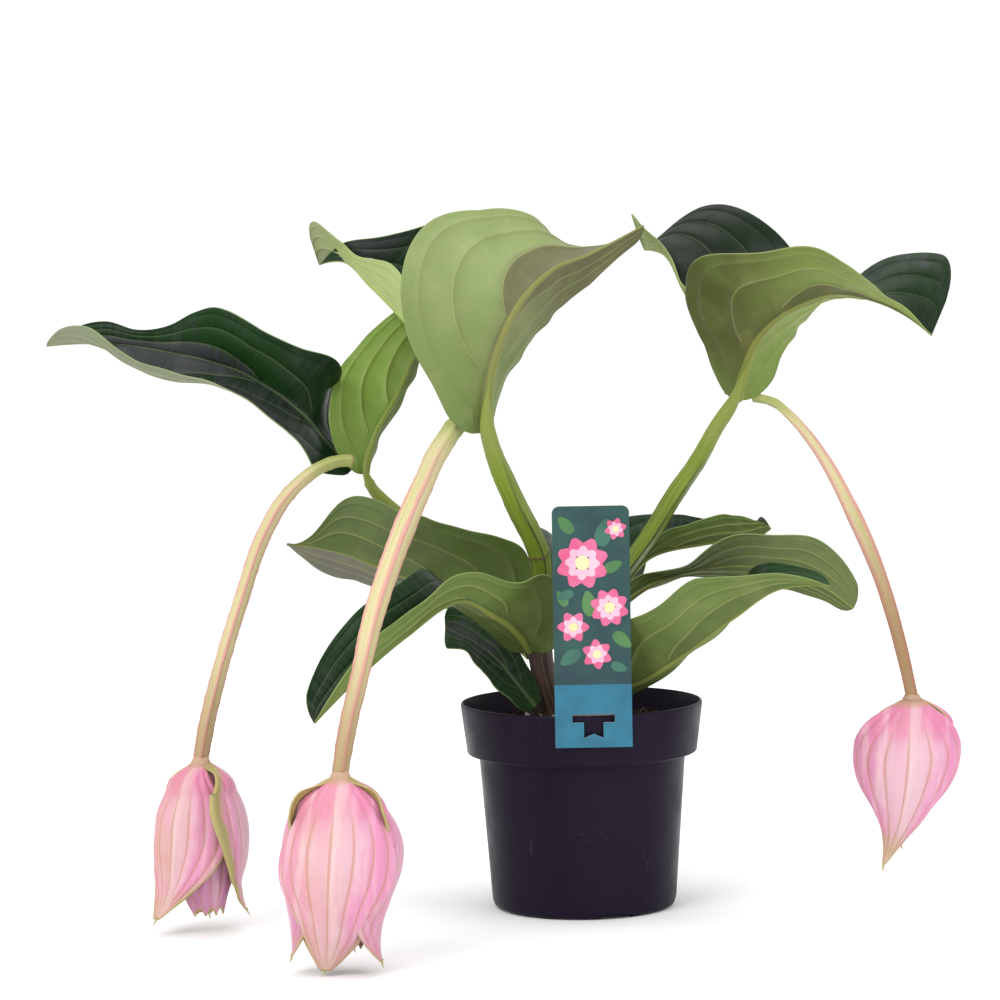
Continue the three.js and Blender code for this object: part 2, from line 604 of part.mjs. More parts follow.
/** The middle surface of a leaf: s runs base to tip, v from the left margin to the right. */
function leafSurface(leaf) {
  const degrees = Math.PI / 180;
  return (s, v) => {
    const tangent = tangentOn(leaf.midrib, s);
    const hint = new THREE.Vector3(...along(leaf.up, s));
    const up = hint.addScaledVector(tangent, -hint.dot(tangent)).normalize();
    const right = new THREE.Vector3().crossVectors(tangent, up);
    const side = v < 0 ? 0 : 1;
    const outward = v < 0 ? -1 : 1;
    const across = Math.abs(v);
    const full = Math.max(along(leaf.wide[side], s)[0], 0);
    const neck = Math.min(LEAF.neck, full + LEAF.marginWidth) * (1 - endRound(s)) * (1 - s);
    const width = neck + full * endRound(s) + LEAF.marginWidth;
    const rise = along(leaf.rise[side], s)[0] * degrees;
    const bend = along((leaf.bend ?? STRAIGHT)[side], s)[0] * degrees;
    const turn = rise + (bend * (across - 1)) / 2;
    const half = (bend * across) / 2;
    const chord = width * across * (Math.abs(half) > 1e-6 ? Math.sin(half) / half : 1);
    const point = onPath(leaf.midrib, s)
      .addScaledVector(right, outward * chord * Math.cos(turn))
      .addScaledVector(up, chord * Math.sin(turn));
    const [height, count, start] = (leaf.wave ?? SMOOTH)[side];
    const ruffle = height * across ** 2 * Math.sin(2 * Math.PI * (count * s + start)) * endRound(s);
    const marginTurn = rise + bend * (across - 0.5);
    return point.addScaledVector(up, ruffle * Math.cos(marginTurn))
      .addScaledVector(right, -outward * ruffle * Math.sin(marginTurn));
  };
}

/** The middle surface of a bract, wrapped round the head's axis. */
function bractSurface(head, bract) {
  return (s, v) => {
    const reach = along(bract.reach, s)[0];
    const half = Math.max(along(bract.half, s)[0], 0) + BRACT.marginWidth;
    const wrap = (v * half) / Math.max(reach, half / BRACT.widestTurn);
    const turn = (bract.face * Math.PI) / 180 + wrap;
    const side = v < 0 ? 0 : 1;
    const stand = bract.flare[side] * Math.sin(Math.PI * s)
      + bract.lap[side] * Math.sin(2 * Math.PI * s);
    const out = reach + stand * v * v;
    return new THREE.Vector3(
      head.top[0] + head.foot[0] * s + bract.sway[0] * s ** 3 + out * Math.sin(turn),
      head.top[1] + head.foot[1] * s + bract.sway[1] * s ** 3 - out * Math.cos(turn),
      head.top[2] - bract.length * s,
    );
  };
}

function bractsSolid(head) {
  const half = () => BRACT.thickness / 2;
  const { radius, flat, drop } = HEAD_CAP;
  let solid = solidOf(new THREE.SphereGeometry(radius, 10, 6).scale(1, 1, flat)
    .translate(head.top[0], head.top[1], head.top[2] - drop));
  for (const bract of head.bracts) {
    const surface = bractSurface(head, bract);
    solid = solid.add(solidOf(bladeGeometry(surface, BRACT_ROWS, BRACT.columns, half, half)));
  }
  return solid;
}

/** A tapering spike set all round with buds, on a golden-angle spiral. */
function budsSolid(head) {
  const { start, length, radius, count } = head.buds;
  const [x, y] = [head.top[0] + head.foot[0] / 2, head.top[1] + head.foot[1] / 2];
  const top = head.top[2] - start;
  const profile = [
    [0, 0], [BUDS.stalk, 0], [BUDS.stalk, BUDS.neck], [radius * 0.75, 20],
    [radius * 0.8, length * 0.5], [radius * 0.35, length - 3], [0, length - 3],
  ];
  const spike = turned(profile.map(([r, drop]) => [r, -drop]).reverse(), BUDS.sides);
  let solid = solidOf(spike.translate(x, y, top));
  for (let i = 0; i < count; i += 1) {
    const t = (i + 0.5) / count;
    const turn = i * Math.PI * (3 - Math.sqrt(5));
    const drop = BUDS.first + (length - BUDS.first - BUDS.last) * t;
    const out = radius * 0.8 * Math.sqrt(Math.sin(Math.PI * (0.16 + 0.78 * t)));
    const bud = new THREE.IcosahedronGeometry(BUDS.bud, 0).scale(1, 1, BUDS.long)
      .translate(x + out * Math.cos(turn), y + out * Math.sin(turn), top - drop);
    solid = solid.add(solidOf(bud));
  }
  return solid;
}

// ---- assembly ------------------------------------------------------------------------------------

const DARK_PLASTIC = 0x241f2e;
const SOIL_BROWN = 0x2e211c;
const LABEL_TEAL = 0x2e7f90;
const LEAF_GREEN = 0x2f5a35;
const STALK_PINK = 0xc9a07a;
const BRACT_PINK = 0xeaa9c2;
const BUD_PINK = 0xb9785a;

addPiece('pot', geometryFrom(potSolid()), DARK_PLASTIC, 0.45);
addPiece('soil', geometryFrom(soilSolid()), SOIL_BROWN, 1);
addPiece('label', geometryFrom(labelSolid()), LABEL_TEAL, 0.35);
for (const stem of STEMS) {
  addPiece(stem.name, stalkGeometry(stem.path, stem.radius, STEM_SECTION, 14), stem.colour, 0.5);
}
for (const stalk of STALKS) {
  const geometry = stalkGeometry(stalk.path, stalk.radius, STEM_SECTION, 16);
  addPiece(stalk.name, geometry, STALK_PINK, 0.55);
}
for (const leaf of LEAVES) {
  const above = () => LEAF.thickness / 2;
  const below = (s, v) => LEAF.thickness / 2 + (v === 0 ? LEAF.keel * (1 - s) + LEAF.tipKeel : 0);
  const geometry = bladeGeometry(leafSurface(leaf), LEAF_ROWS, LEAF.columns, above, below);
  addPiece(leaf.name, geometry, LEAF_GREEN, 0.35);
}
for (const head of HEADS) {
  addPiece(`bracts_${head.name}`, geometryFrom(bractsSolid(head)), BRACT_PINK, 0.6);
  addPiece(`buds_${head.name}`, geometryFrom(budsSolid(head)), BUD_PINK, 0.5);
}

export default group;
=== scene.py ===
"""A medinilla in flower: ribbed leathery leaves, winged stems and hanging pink flower heads.

The plant stands in a dark nursery pot with a care label over its rim. The plans below are the
ones that the solid pieces are made from, in millimetres, so every dressed piece lies on the
solid that it stands for. Meshes are worked out in millimetres too, and finished in metres.
"""

from __future__ import annotations

import logging
import math
from dataclasses import dataclass
from enum import Enum, IntEnum
from typing import NamedTuple, Protocol

import bpy
import numpy as np
from mathutils import Matrix, Vector, noise

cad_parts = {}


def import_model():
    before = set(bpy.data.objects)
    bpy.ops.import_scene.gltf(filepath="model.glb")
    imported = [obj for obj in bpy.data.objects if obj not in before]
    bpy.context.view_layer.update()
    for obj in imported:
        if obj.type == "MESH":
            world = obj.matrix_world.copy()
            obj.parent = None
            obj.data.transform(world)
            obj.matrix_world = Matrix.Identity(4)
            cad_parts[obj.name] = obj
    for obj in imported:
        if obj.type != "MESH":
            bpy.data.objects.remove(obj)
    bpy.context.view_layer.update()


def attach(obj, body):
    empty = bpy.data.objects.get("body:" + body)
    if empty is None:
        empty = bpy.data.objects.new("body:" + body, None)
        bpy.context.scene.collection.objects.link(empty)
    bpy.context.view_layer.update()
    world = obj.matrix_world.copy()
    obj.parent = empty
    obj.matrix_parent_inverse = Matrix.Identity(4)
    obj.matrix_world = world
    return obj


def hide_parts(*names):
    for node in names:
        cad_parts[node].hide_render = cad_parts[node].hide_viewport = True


LOG = logging.getLogger("medinilla")
MM = 0.001  # metres in a millimetre
FULL = 2 * math.pi  # a full turn, in radians
PHASE = 6.28  # random phases are drawn up to here, in radians
UP = np.array([0.0, 0.0, 1.0])
BODY = "root"

Array = np.ndarray
Pair = tuple[float, float]
Triple = tuple[float, float, float]
Colour = tuple[float, float, float, float]
Halves = tuple[tuple[float, ...], tuple[float, ...]]
Material = bpy.types.Material
Piece = bpy.types.Object
Socket = bpy.types.NodeSocket


def tint(code: int) -> Colour:
    """Gives the linear colour of a paint-chart code.

    Args:
        code: The colour as 0xRRGGBB.

    Returns:
        Red, green, blue and alpha for a shader socket.
    """
    parts = [((code >> shift) & 255) / 255 for shift in (16, 8, 0)]
    linear = [c / 12.92 if c <= 0.04045 else ((c + 0.055) / 1.055) ** 2.4 for c in parts]
    return (*linear, 1.0)


# ---- smooth curves ----


def through(knots: Array, values: Array, t: Array) -> Array:
    """Reads a smooth curve through values at rising knots.

    Args:
        knots: Where the values stand, rising.
        values: One row of numbers for each knot.
        t: Where to read the curve.

    Returns:
        One row of numbers for each t.
    """
    if len(knots) == 1:
        return np.repeat(values, len(t), axis=0)
    step = np.diff(knots)
    chord = np.diff(values, axis=0) / step[:, None]
    slope = np.repeat(chord[:1], len(knots), axis=0)
    if len(knots) > 2:
        weight = (step[1:] + step[:-1])[:, None]
        slope[1:-1] = (chord[:-1] * step[1:, None] + chord[1:] * step[:-1, None]) / weight
        slope[0] = 2 * chord[0] - slope[1]
        slope[-1] = 2 * chord[-1] - slope[-2]
    i = np.clip(np.searchsorted(knots, t, side="left") - 1, 0, len(knots) - 2)
    h = step[i][:, None]
    u = ((t - knots[i]) / step[i])[:, None]
    return (
        (1 + 2 * u) * (1 - u) ** 2 * values[i]
        + u * (1 - u) ** 2 * h * slope[i]
        + u * u * (3 - 2 * u) * values[i + 1]
        + u * u * (u - 1) * h * slope[i + 1]
    )


def along(stations: tuple, t: Array) -> Array:
    """Reads a list that is given at even stations from base to tip.

    Args:
        stations: Numbers, or rows of numbers.
        t: Where to read the list, 0 at the base and 1 at the tip.

    Returns:
        One number, or one row, for each t.
    """
    values = np.array(stations, float)
    rows = values.reshape(len(values), -1)
    read = through(np.arange(len(rows)) / max(1, len(rows) - 1), rows, t)
    return read[:, 0] if values.ndim == 1 else read


def on_path(points: tuple[Triple, ...], t: Array) -> Array:
    """Gives the places on the smooth curve through points, t measured along their chords."""
    rows = np.array(points, float)
    knots = run_length(rows)
    return through(knots / knots[-1], rows, t)


def run_length(points: Array) -> Array:
    """Gives how far each point is from the first one, measured along the chain of points."""
    return np.concatenate([[0], np.cumsum(np.linalg.norm(np.diff(points, axis=0), axis=1))])


def tangents(points: tuple[Triple, ...], t: Array) -> Array:
    """Gives the unit directions of the smooth curve through points."""
    reach = 0.002
    ahead = on_path(points, np.minimum(t + reach, 1)) - on_path(points, np.maximum(t - reach, 0))
    return ahead / np.linalg.norm(ahead, axis=1)[:, None]


def unit(rows: Array) -> Array:
    """Scales vectors along the last axis to length 1."""
    return rows / np.maximum(np.linalg.norm(rows, axis=-1, keepdims=True), 1e-9)


def facing(grid: Array) -> Array:
    """Gives the unit normals of a sheet of points, rows by columns by 3."""
    return unit(np.cross(np.gradient(grid, axis=1), np.gradient(grid, axis=0)))


def smooth_step(low: float, high: float, x: Array) -> Array:
    """Rises smoothly from 0 at low to 1 at high."""
    u = np.clip((x - low) / (high - low), 0, 1)
    return u * u * (3 - 2 * u)


def bell(x: Array, reach: Array | float) -> Array:
    """A bell curve, 1 at 0 and about a third at reach."""
    return np.exp(-((x / reach) ** 2))


def rounded(x: Array) -> Array:
    """A round hump, 1 at 0 and 0 from 1 outward on both sides."""
    return np.sqrt(np.clip(1 - np.abs(x) ** 2, 0, 1)) * smooth_step(1.0, 0.75, np.abs(x))


def blurred(rows: Array, reach: float) -> Array:
    """Blurs a table along its first axis.

    Args:
        rows: The table.
        reach: The blur's standard deviation, in rows.

    Returns:
        The blurred table.
    """
    pad = math.ceil(3 * reach)
    weights = np.exp(-((np.arange(-pad, pad + 1) / reach) ** 2) / 2)
    weights = weights / weights.sum()
    around = [(pad, pad)] + [(0, 0)] * (rows.ndim - 1)
    wide = np.pad(rows, around, mode="reflect", reflect_type="odd")
    return sum(weight * wide[i : i + len(rows)] for i, weight in enumerate(weights))


# ---- meshes ----


def turns(count: int) -> Array:
    """Gives even angles round a full turn, in radians."""
    return FULL * np.arange(count) / count


def lathe(outline: Array, sides: int) -> Array:
    """Turns an outline round Z.

    Args:
        outline: Radius and height of each of its points.
        sides: Points round the axis.

    Returns:
        The points, one row round the axis for each point of the outline.
    """
    turn = turns(sides)
    ring = np.stack([np.cos(turn), np.sin(turn), 0 * turn], axis=1)
    outline = np.asarray(outline, float)
    return outline[:, :1, None] * ring + outline[:, 1:, None] * UP


def grid_faces(rows: int, columns: int, wrap: bool = True) -> Array:
    """Numbers the quads of a grid of points.

    Args:
        rows: Rows of points.
        columns: Points in a row.
        wrap: Whether the last column joins the first.

    Returns:
        One row of four indices for each quad.
    """
    index = np.arange(rows * columns).reshape(rows, columns)
    if wrap:
        index = np.concatenate([index, index[:, :1]], axis=1)
    quads = [index[:-1, :-1], index[:-1, 1:], index[1:, 1:], index[1:, :-1]]
    return np.stack(quads, axis=-1).reshape(-1, 4)


def halved(quads: Array) -> Array:
    """Splits quads into triangles."""
    return np.concatenate([quads[:, [0, 1, 2]], quads[:, [0, 2, 3]]])


def fan(count: int, hub: int, start: int = 0, flip: bool = False) -> Array:
    """Numbers the triangles between a ring of points and its hub.

    Args:
        count: Points in the ring.
        hub: Index of the hub.
        start: Index of the ring's first point.
        flip: Whether the triangles look the other way.

    Returns:
        One row of three indices for each triangle.
    """
    index = start + np.arange(count)
    faces = np.stack([index, np.roll(index, -1), np.full(count, hub)], axis=1)
    return faces[:, ::-1] if flip else faces


def ball(sides: int, rings: int) -> tuple[Array, Array]:
    """Makes a unit ball of triangles, its poles on Z.

    Args:
        sides: Faces round it.
        rings: Rows of faces from pole to pole.

    Returns:
        Its points and its faces.
    """
    down = np.linspace(0, math.pi, rings + 1)[1:-1]
    body = lathe(np.stack([np.sin(down), np.cos(down)], axis=1), sides).reshape(-1, 3)
    points = np.concatenate([body, [UP, -UP]])
    top, bottom = len(body), len(body) + 1
    ends = [fan(sides, top), fan(sides, bottom, (rings - 2) * sides, flip=True)]
    return points, np.concatenate([*ends, halved(grid_faces(rings - 1, sides)[:, ::-1])])


@dataclass
class Skin:
    """A mesh under construction: points in millimetres, faces, their finish and point data.

    Attributes:
        name: Name of the finished piece.
    """

    name: str

    def __post_init__(self) -> None:
        """Starts with no points and no faces."""
        self.points: list[Array] = []
        self.faces: list[Array] = []
        self.finishes: list[Array] = []
        self.data: dict[str, list[Array]] = {}
        self.count = 0

    def add(self, points: Array, *faces: Array, finish: int = 0, **data: Array | float) -> None:
        """Adds a patch.

        Args:
            points: Its points, one row each.
            *faces: Blocks of its faces, each face a row of indices into points.
            finish: Which of the piece's finishes it wears.
            **data: Named numbers for the shader, one for each point, or one for all.
        """
        for key in dict.fromkeys([*self.data, *data]):
            column = self.data.setdefault(key, [np.zeros(self.count)] if self.count else [])
            column.append(np.broadcast_to(np.asarray(data.get(key, 0.0), float), len(points)))
        self.points.append(np.asarray(points, float))
        for block in faces:
            self.faces.append(block + self.count)
            self.finishes.append(np.full(len(block), finish))
        self.count += len(points)

    def add_cap(
        self, ring: Array, hub: Array, finish: int = 0, flip: bool = False, **data: float
    ) -> None:
        """Adds a cap of triangles.

        Args:
            ring: The points round it.
            hub: Its middle.
            finish: Which of the piece's finishes it wears.
            flip: Whether its faces look the other way.
            **data: Named numbers for the shader.
        """
        faces = fan(len(ring), len(ring), flip=flip)
        self.add(np.concatenate([ring, [hub]]), faces, finish=finish, **data)

    def add_grid(
        self, grid: Array, finish: int = 0, flip: bool = False, wrap: bool = True,
        **data: Array | float,
    ) -> None:
        """Adds a sheet of quads.

        Args:
            grid: Its points, rows by columns by 3.
            finish: Which of the piece's finishes it wears.
            flip: Whether its faces look the other way.
            wrap: Whether its last column joins its first.
            **data: Named numbers for the shader, for each point, row or column, or for all.
        """
        shape = grid.shape[:2]
        faces = grid_faces(*shape, wrap)
        flat = {key: np.broadcast_to(value, shape).ravel() for key, value in data.items()}
        self.add(grid.reshape(-1, 3), faces[:, ::-1] if flip else faces, finish=finish, **flat)

    def add_blade(self, over: Array, under: Array, finish: int, **data: Array | float) -> None:
        """Adds a closed thin blade from its upper and its lower face.

        Args:
            over: Points of the upper face, rows by columns by 3.
            under: Points of the lower face.
            finish: Which finish the lower face and the rim wear. The upper face wears the first.
            **data: Named numbers for the shader, for each point, row or column, or for all.
        """
        shape = over.shape[:2]
        sheet = grid_faces(*shape, wrap=False)
        lower = shape[0] * shape[1]
        index = np.arange(lower).reshape(shape)
        edge = np.concatenate([index[0], index[1:, -1], index[-1, -2::-1], index[-2:0:-1, 0]])
        after = np.roll(edge, -1)
        rim = np.stack([after, edge, edge + lower, after + lower], axis=1)
        points = np.concatenate([over.reshape(-1, 3), under.reshape(-1, 3)])
        flat = {
            key: np.tile(np.broadcast_to(value, shape).ravel(), 2) for key, value in data.items()
        }
        self.add(points, sheet, sheet[:, ::-1] + lower, rim, finish=finish, **flat)
        self.finishes[-3][:] = 0

    def piece(self, *materials: Material) -> Piece:
        """Makes the piece.

        Args:
            *materials: Its finishes, in the order of their numbers.

        Returns:
            The new smooth-shaded object, in metres.
        """
        faces = [row for block in self.faces for row in block.tolist()]
        mesh = bpy.data.meshes.new(self.name)
        mesh.from_pydata((np.concatenate(self.points) * MM).tolist(), [], faces)
        mesh.polygons.foreach_set("material_index", np.concatenate(self.finishes).astype(np.int32))
        mesh.polygons.foreach_set("use_smooth", np.ones(len(faces), bool))
        for key, column in self.data.items():
            layer = mesh.attributes.new(key, "FLOAT", "POINT")
            layer.data.foreach_set("value", np.concatenate(column).astype(np.float32))
        mesh.update()
        for material in materials:
            mesh.materials.append(material)
        thing = bpy.data.objects.new(self.name, mesh)
        bpy.context.scene.collection.objects.link(thing)
        return thing


# ---- shaders ----


class Coat(NamedTuple):
    """A colour laid over another one as a value passes from low to high.

    Attributes:
        colour: The colour.
        value: The value, or the name of a number that the mesh holds for each point.
        low: Where the colour begins to show.
        high: Where it shows most.
        most: How much of what is below it then covers, 1 for all.
    """

    colour: Socket | Colour
    value: Socket | str
    low: float = 0.0
    high: float = 1.0
    most: float = 1.0


class Sheet:
    """A material's node tree, with short calls to add and join its nodes.

    Wherever a call takes a socket, it also takes the name of a number that the mesh holds for
    each point.
    """

    def __init__(self, name: str) -> None:
        """Starts a material with one principled shader.

        Args:
            name: Name of the material.
        """
        self.material = bpy.data.materials.new(name)
        self.material.use_nodes = True
        self.tree = self.material.node_tree

    def plug(self, socket: Socket, value: Socket | str | Colour | Triple | float) -> None:
        """Joins a socket to what is given, or sets its value.

        Args:
            socket: The input.
            value: A socket, a name, or a plain value.
        """
        if isinstance(value, str):
            value = self.node("Attribute", "Fac", {}, attribute_name=value)
        if isinstance(value, Socket):
            self.tree.links.new(value, socket)
        else:
            socket.default_value = value

    def node(self, kind: str, output: str | int, inputs: dict, **settings: str) -> Socket:
        """Adds a node.

        Args:
            kind: Its type, without the usual "ShaderNode" in front.
            output: Name or number of the output that is wanted.
            inputs: What goes into its inputs, by their names or numbers.
            **settings: Its other settings.

        Returns:
            The wanted output.
        """
        node = self.tree.nodes.new("ShaderNode" + kind)
        for key, value in settings.items():
            setattr(node, key, value)
        for key, value in inputs.items():
            self.plug(node.inputs[key], value)
        return node.outputs[output]

    def finished(self, **values: Socket | Colour | float) -> Material:
        """Sets the shader's inputs, in lower case and with underscores, and ends the material.

        Args:
            **values: The inputs, a socket or a plain value for each.

        Returns:
            The material.
        """
        shader = self.tree.nodes["Principled BSDF"]
        for key, value in values.items():
            title = key.replace("_", " ").title().replace("Ior", "IOR")
            self.plug(shader.inputs[title], value)
        return self.material

    def place(self, scale: Triple = (1.0, 1.0, 1.0)) -> Socket:
        """Reads the place on the piece, in metres, stretched by scale."""
        where = self.node("TexCoord", "Object", {})
        return self.node("Mapping", "Vector", {"Vector": where, "Scale": scale})

    def mapped(self, **paces: float) -> Socket:
        """Makes a vector of up to three of the mesh's numbers, each times its pace."""
        values = [self.times(name, pace) for name, pace in paces.items()]
        return self.node("CombineXYZ", "Vector", dict(enumerate(values)))

    def part(self, vector: Socket, axis: str) -> Socket:
        """Gives one number of a vector."""
        return self.node("SeparateXYZ", axis, {"Vector": vector})

    def noise(self, scale: float, detail: float = 3.0, vector: Socket | None = None) -> Socket:
        """Adds cloudy noise, about 0.5 on average.

        Args:
            scale: Clouds to a unit of the vector, which is metres where none is given.
            detail: Octaves of finer noise.
            vector: Where to read it.

        Returns:
            The noise.
        """
        where = self.place() if vector is None else vector
        inputs = {"Scale": scale, "Detail": detail, "Roughness": 0.55, "Vector": where}
        return self.node("TexNoise", "Fac", inputs)

    def cells(self, scale: float, vector: Socket | None = None, feature: str = "F1") -> Socket:
        """Adds a cell pattern and gives the distance to its cells' centres or edges."""
        inputs = {"Scale": scale, "Vector": self.place() if vector is None else vector}
        return self.node("TexVoronoi", "Distance", inputs, feature=feature)

    def span(
        self, value: Socket | str, low: float, high: float, to_low: float = 0.0,
        to_high: float = 1.0,
    ) -> Socket:
        """Maps a stretch of values smoothly to another stretch, and holds it at both ends."""
        inputs = dict(enumerate((value, low, high, to_low, to_high)))
        return self.node("MapRange", "Result", inputs, interpolation_type="SMOOTHSTEP")

    def plus(self, a: Socket | str, b: Socket | float) -> Socket:
        """Adds two numbers."""
        return self.node("Math", "Value", {0: a, 1: b}, operation="ADD")

    def times(self, a: Socket | str, b: Socket | float) -> Socket:
        """Multiplies two numbers."""
        return self.node("Math", "Value", {0: a, 1: b}, operation="MULTIPLY")

    def shaken(
        self, value: Socket | str, cloud: Socket, swing: float, low: float = 0.2,
        high: float = 0.8,
    ) -> Socket:
        """Adds an irregular swing to a value.

        Args:
            value: The value.
            cloud: The noise that it swings with.
            swing: The most that it gains or loses.
            low: The noise's value where it loses most.
            high: The noise's value where it gains most.

        Returns:
            The uneven value.
        """
        return self.plus(value, self.span(cloud, low, high, -swing, swing))

    def mix(self, share: Socket | str, a: Socket | Colour, b: Socket | Colour) -> Socket:
        """Blends two colours: a where share is 0, b where it is 1."""
        return self.node("Mix", 2, {0: share, 6: a, 7: b}, data_type="RGBA")

    def coats(self, ground: Socket | Colour, *coats: Coat) -> Socket:
        """Lays coats of colour over a ground, one after another.

        Args:
            ground: The colour or socket below.
            *coats: What is laid over it, in order.

        Returns:
            The blended colour.
        """
        for coat in coats:
            share = self.span(coat.value, coat.low, coat.high, 0.0, coat.most)
            ground = self.mix(share, ground, coat.colour)
        return ground

    def bump(self, height: Socket, depth: float) -> Socket:
        """Turns a height of 0 to 1 into a relief of that depth in metres."""
        return self.node("Bump", "Normal", {"Height": height, "Distance": depth, "Strength": 1.0})


# ---- finishes ----


class LitTone(Enum):
    """The colours of a leaf's underside, its green and its dusk along the midrib: each set is
    partly the leaf's own tint and partly painted light and shade for where that leaf hangs.
    """

    PALE = (0xA0B26C, 0x7A7F60)
    BRIGHT = (0x82925A, 0x5E5D3F)
    FRESH = (0x76903F, 0x536A28)
    OLIVE = (0x7F9348, 0x4B5024)
    MOSS = (0x677C3C, 0x4C5A2C)
    DEEP = (0x55692F, 0x3E4A28)
    ASH = (0x4C5E2A, 0x6C6D60)
    GREY = (0x5C6A3B, 0x525F38)
    SILVER = (0x868D7C, 0x747B60)


@dataclass(frozen=True)
class LeafTop:
    """Glossy dark green upper face: a bluish-grey coat along its middle that is partly waxy film
    and partly painted sheen, and painted shade over leaves that hang in shade.
    """

    deep: Colour = tint(0x10240F)
    fresh: Colour = tint(0x1D3A18)
    # bluish grey: partly waxy film, partly a painted sheen of reflected light
    bloom_and_sheen: Colour = tint(0x3E3E42)
    # painted shade: the near-black that darkens the upper face of leaves in shade
    painted_shade: Colour = tint(0x070C06)
    vein: Colour = tint(0x5F7048)
    margin: Colour = tint(0x49683A)

    def material(self) -> Material:
        """Makes the upper face's material.

        Returns:
            The material.
        """
        sheet = Sheet("leaf_top")
        fine = sheet.noise(420.0, 4.0)
        ladder = sheet.noise(30.0, 4.0, sheet.mapped(run=12.0, across=1.3))
        # Painted sheen: the bluish-grey reflection laid along the middle, partly waxy film, follows
        # the dusk numbers.
        bloom_and_sheen_share = sheet.shaken("dusk", sheet.noise(9.0), 0.4, 0.3, 0.7)
        colour = sheet.coats(
            self.deep,
            Coat(self.fresh, sheet.noise(14.0, 4.0), 0.3, 0.7),
            Coat(self.fresh, ladder, 0.45, 0.65, 0.45),
            Coat(self.bloom_and_sheen, sheet.shaken(bloom_and_sheen_share, ladder, 0.22, 0.3, 0.7), 0.1, 0.9, 0.85),
            Coat(self.fresh, fine, 0.5, 0.8, 0.2),
        )
        colour = sheet.coats(
            # Painted shade: each leaf's shade number darkens its upper face towards near-black.
            sheet.mix("shade", colour, self.painted_shade),
            Coat(self.vein, "vein", 0.35, 1.0, 0.4),
            Coat(self.vein, "midrib", 0.2, 0.9, 0.5),
            Coat(self.margin, "margin", 0.6, 1.0, 0.7),
        )
        return sheet.finished(
            base_color=colour,
            roughness=sheet.span(sheet.noise(60.0, 4.0), 0.3, 0.75, 0.3, 0.44),
            specular_ior_level=0.13,
            normal=cross_veins(sheet, 0.00011, fine),
        )


@dataclass(frozen=True)
class LeafUnder:
    """Matte underside: green towards the margins, its veins raised, and dusky along the midrib,
    partly from its own olive tint and partly from painted shade.

    Attributes:
        tone: Its colours, partly its own tint and partly painted light and shade.
    """

    tone: LitTone
    midrib: Colour = tint(0x8E9440)
    vein: Colour = tint(0xA2A066)
    margin: Colour = tint(0x94A46A)
    base: Colour = tint(0x647B36)

    def material(self) -> Material:
        """Makes the underside's material.

        Returns:
            The material.
        """
        # The tone set carries painted light and shade: brighter sets for lit leaves, darker sets
        # for shaded ones.
        green, dusk = (tint(code) for code in self.tone.value)
        sheet = Sheet(f"leaf_under_{self.tone.name.lower()}")
        fine = sheet.noise(520.0, 4.0)
        blotch = sheet.noise(38.0, 5.0)
        colour = sheet.coats(
            green,
            Coat(self.base, "base", most=0.6),
            # Dusk along the midrib: partly the underside's olive tint, partly painted shade.
            Coat(dusk, sheet.shaken("dusk", sheet.noise(13.0, 4.0), 0.14, 0.25, 0.75)),
            Coat(dusk, fine, 0.35, 0.8, 0.16),
            Coat(self.vein, blotch, 0.5, 0.72, 0.12),
            Coat(self.base, blotch, 0.5, 0.3, 0.3),
            Coat(self.vein, "vein", 0.3, 1.0, 0.34),
            Coat(self.midrib, "midrib", 0.1, 0.8, 0.4),
            Coat(self.margin, "margin", 0.7, 1.0, 0.4),
        )
        return sheet.finished(
            base_color=colour,
            roughness=sheet.span(sheet.noise(80.0, 3.0), 0.3, 0.75, 0.46, 0.6),
            specular_ior_level=0.25,
            normal=cross_veins(sheet, 0.00009, fine),
        )


def cross_veins(sheet: Sheet, depth: float, grain: Socket) -> Socket:
    """Gives leaf tissue its fine ladder of veinlets between the ribs.

    Args:
        sheet: The leaf's material.
        depth: How deep the veinlets are, in metres.
        grain: Fine noise that roughens the face.

    Returns:
        The normal socket.
    """
    ladder = sheet.noise(340.0, 2.0, sheet.mapped(run=1.0, across=0.22))
    net = sheet.cells(300.0, sheet.mapped(run=1.0, across=1.0), "DISTANCE_TO_EDGE")
    height = sheet.plus(ladder, sheet.span(net, 0.0, 0.12, 0.0, 0.3))
    return sheet.bump(sheet.plus(height, sheet.times(grain, 0.35)), depth)


@dataclass(frozen=True)
class StemSkin:
    """Young winged stem: green faces, dark lines on the wings, brown bark below."""

    green: Colour = tint(0x758A22)
    shade: Colour = tint(0x4A6016)
    wing: Colour = tint(0x35201C)
    bark: Colour = tint(0x5C463A)
    dusk: Colour = tint(0x261F1A)
    leaf: Colour = tint(0x7E8A3C)

    def material(self) -> Material:
        """Makes the stem's material.

        Returns:
            The material.
        """
        sheet = Sheet("stem_skin")
        streak = streaks(sheet, 6.0, 1.2)
        speck = sheet.noise(900.0, 3.0)
        barky = sheet.coats(self.bark, Coat(self.dusk, streak, 0.35, 0.7))
        edge = sheet.times("wing", sheet.span(streak, 0.1, 0.6, 0.7, 1.0))
        colour = sheet.coats(
            self.green,
            Coat(self.shade, streak, 0.35, 0.7, 0.7),
            Coat(self.shade, speck, 0.5, 0.8, 0.3),
            Coat(barky, sheet.shaken("bark", streak, 0.25), 0.35, 0.75),
            Coat(self.wing, edge, 0.5, 0.95, 0.8),
            Coat(self.bark, "scar", 0.2, 0.9, 0.7),
            Coat(self.leaf, "leafy"),
        )
        return sheet.finished(
            base_color=colour,
            roughness=sheet.span(sheet.noise(120.0), 0.3, 0.7, 0.4, 0.58),
            specular_ior_level=0.35,
            normal=sheet.bump(sheet.plus(speck, sheet.times(streak, 1.2)), 0.00016),
        )


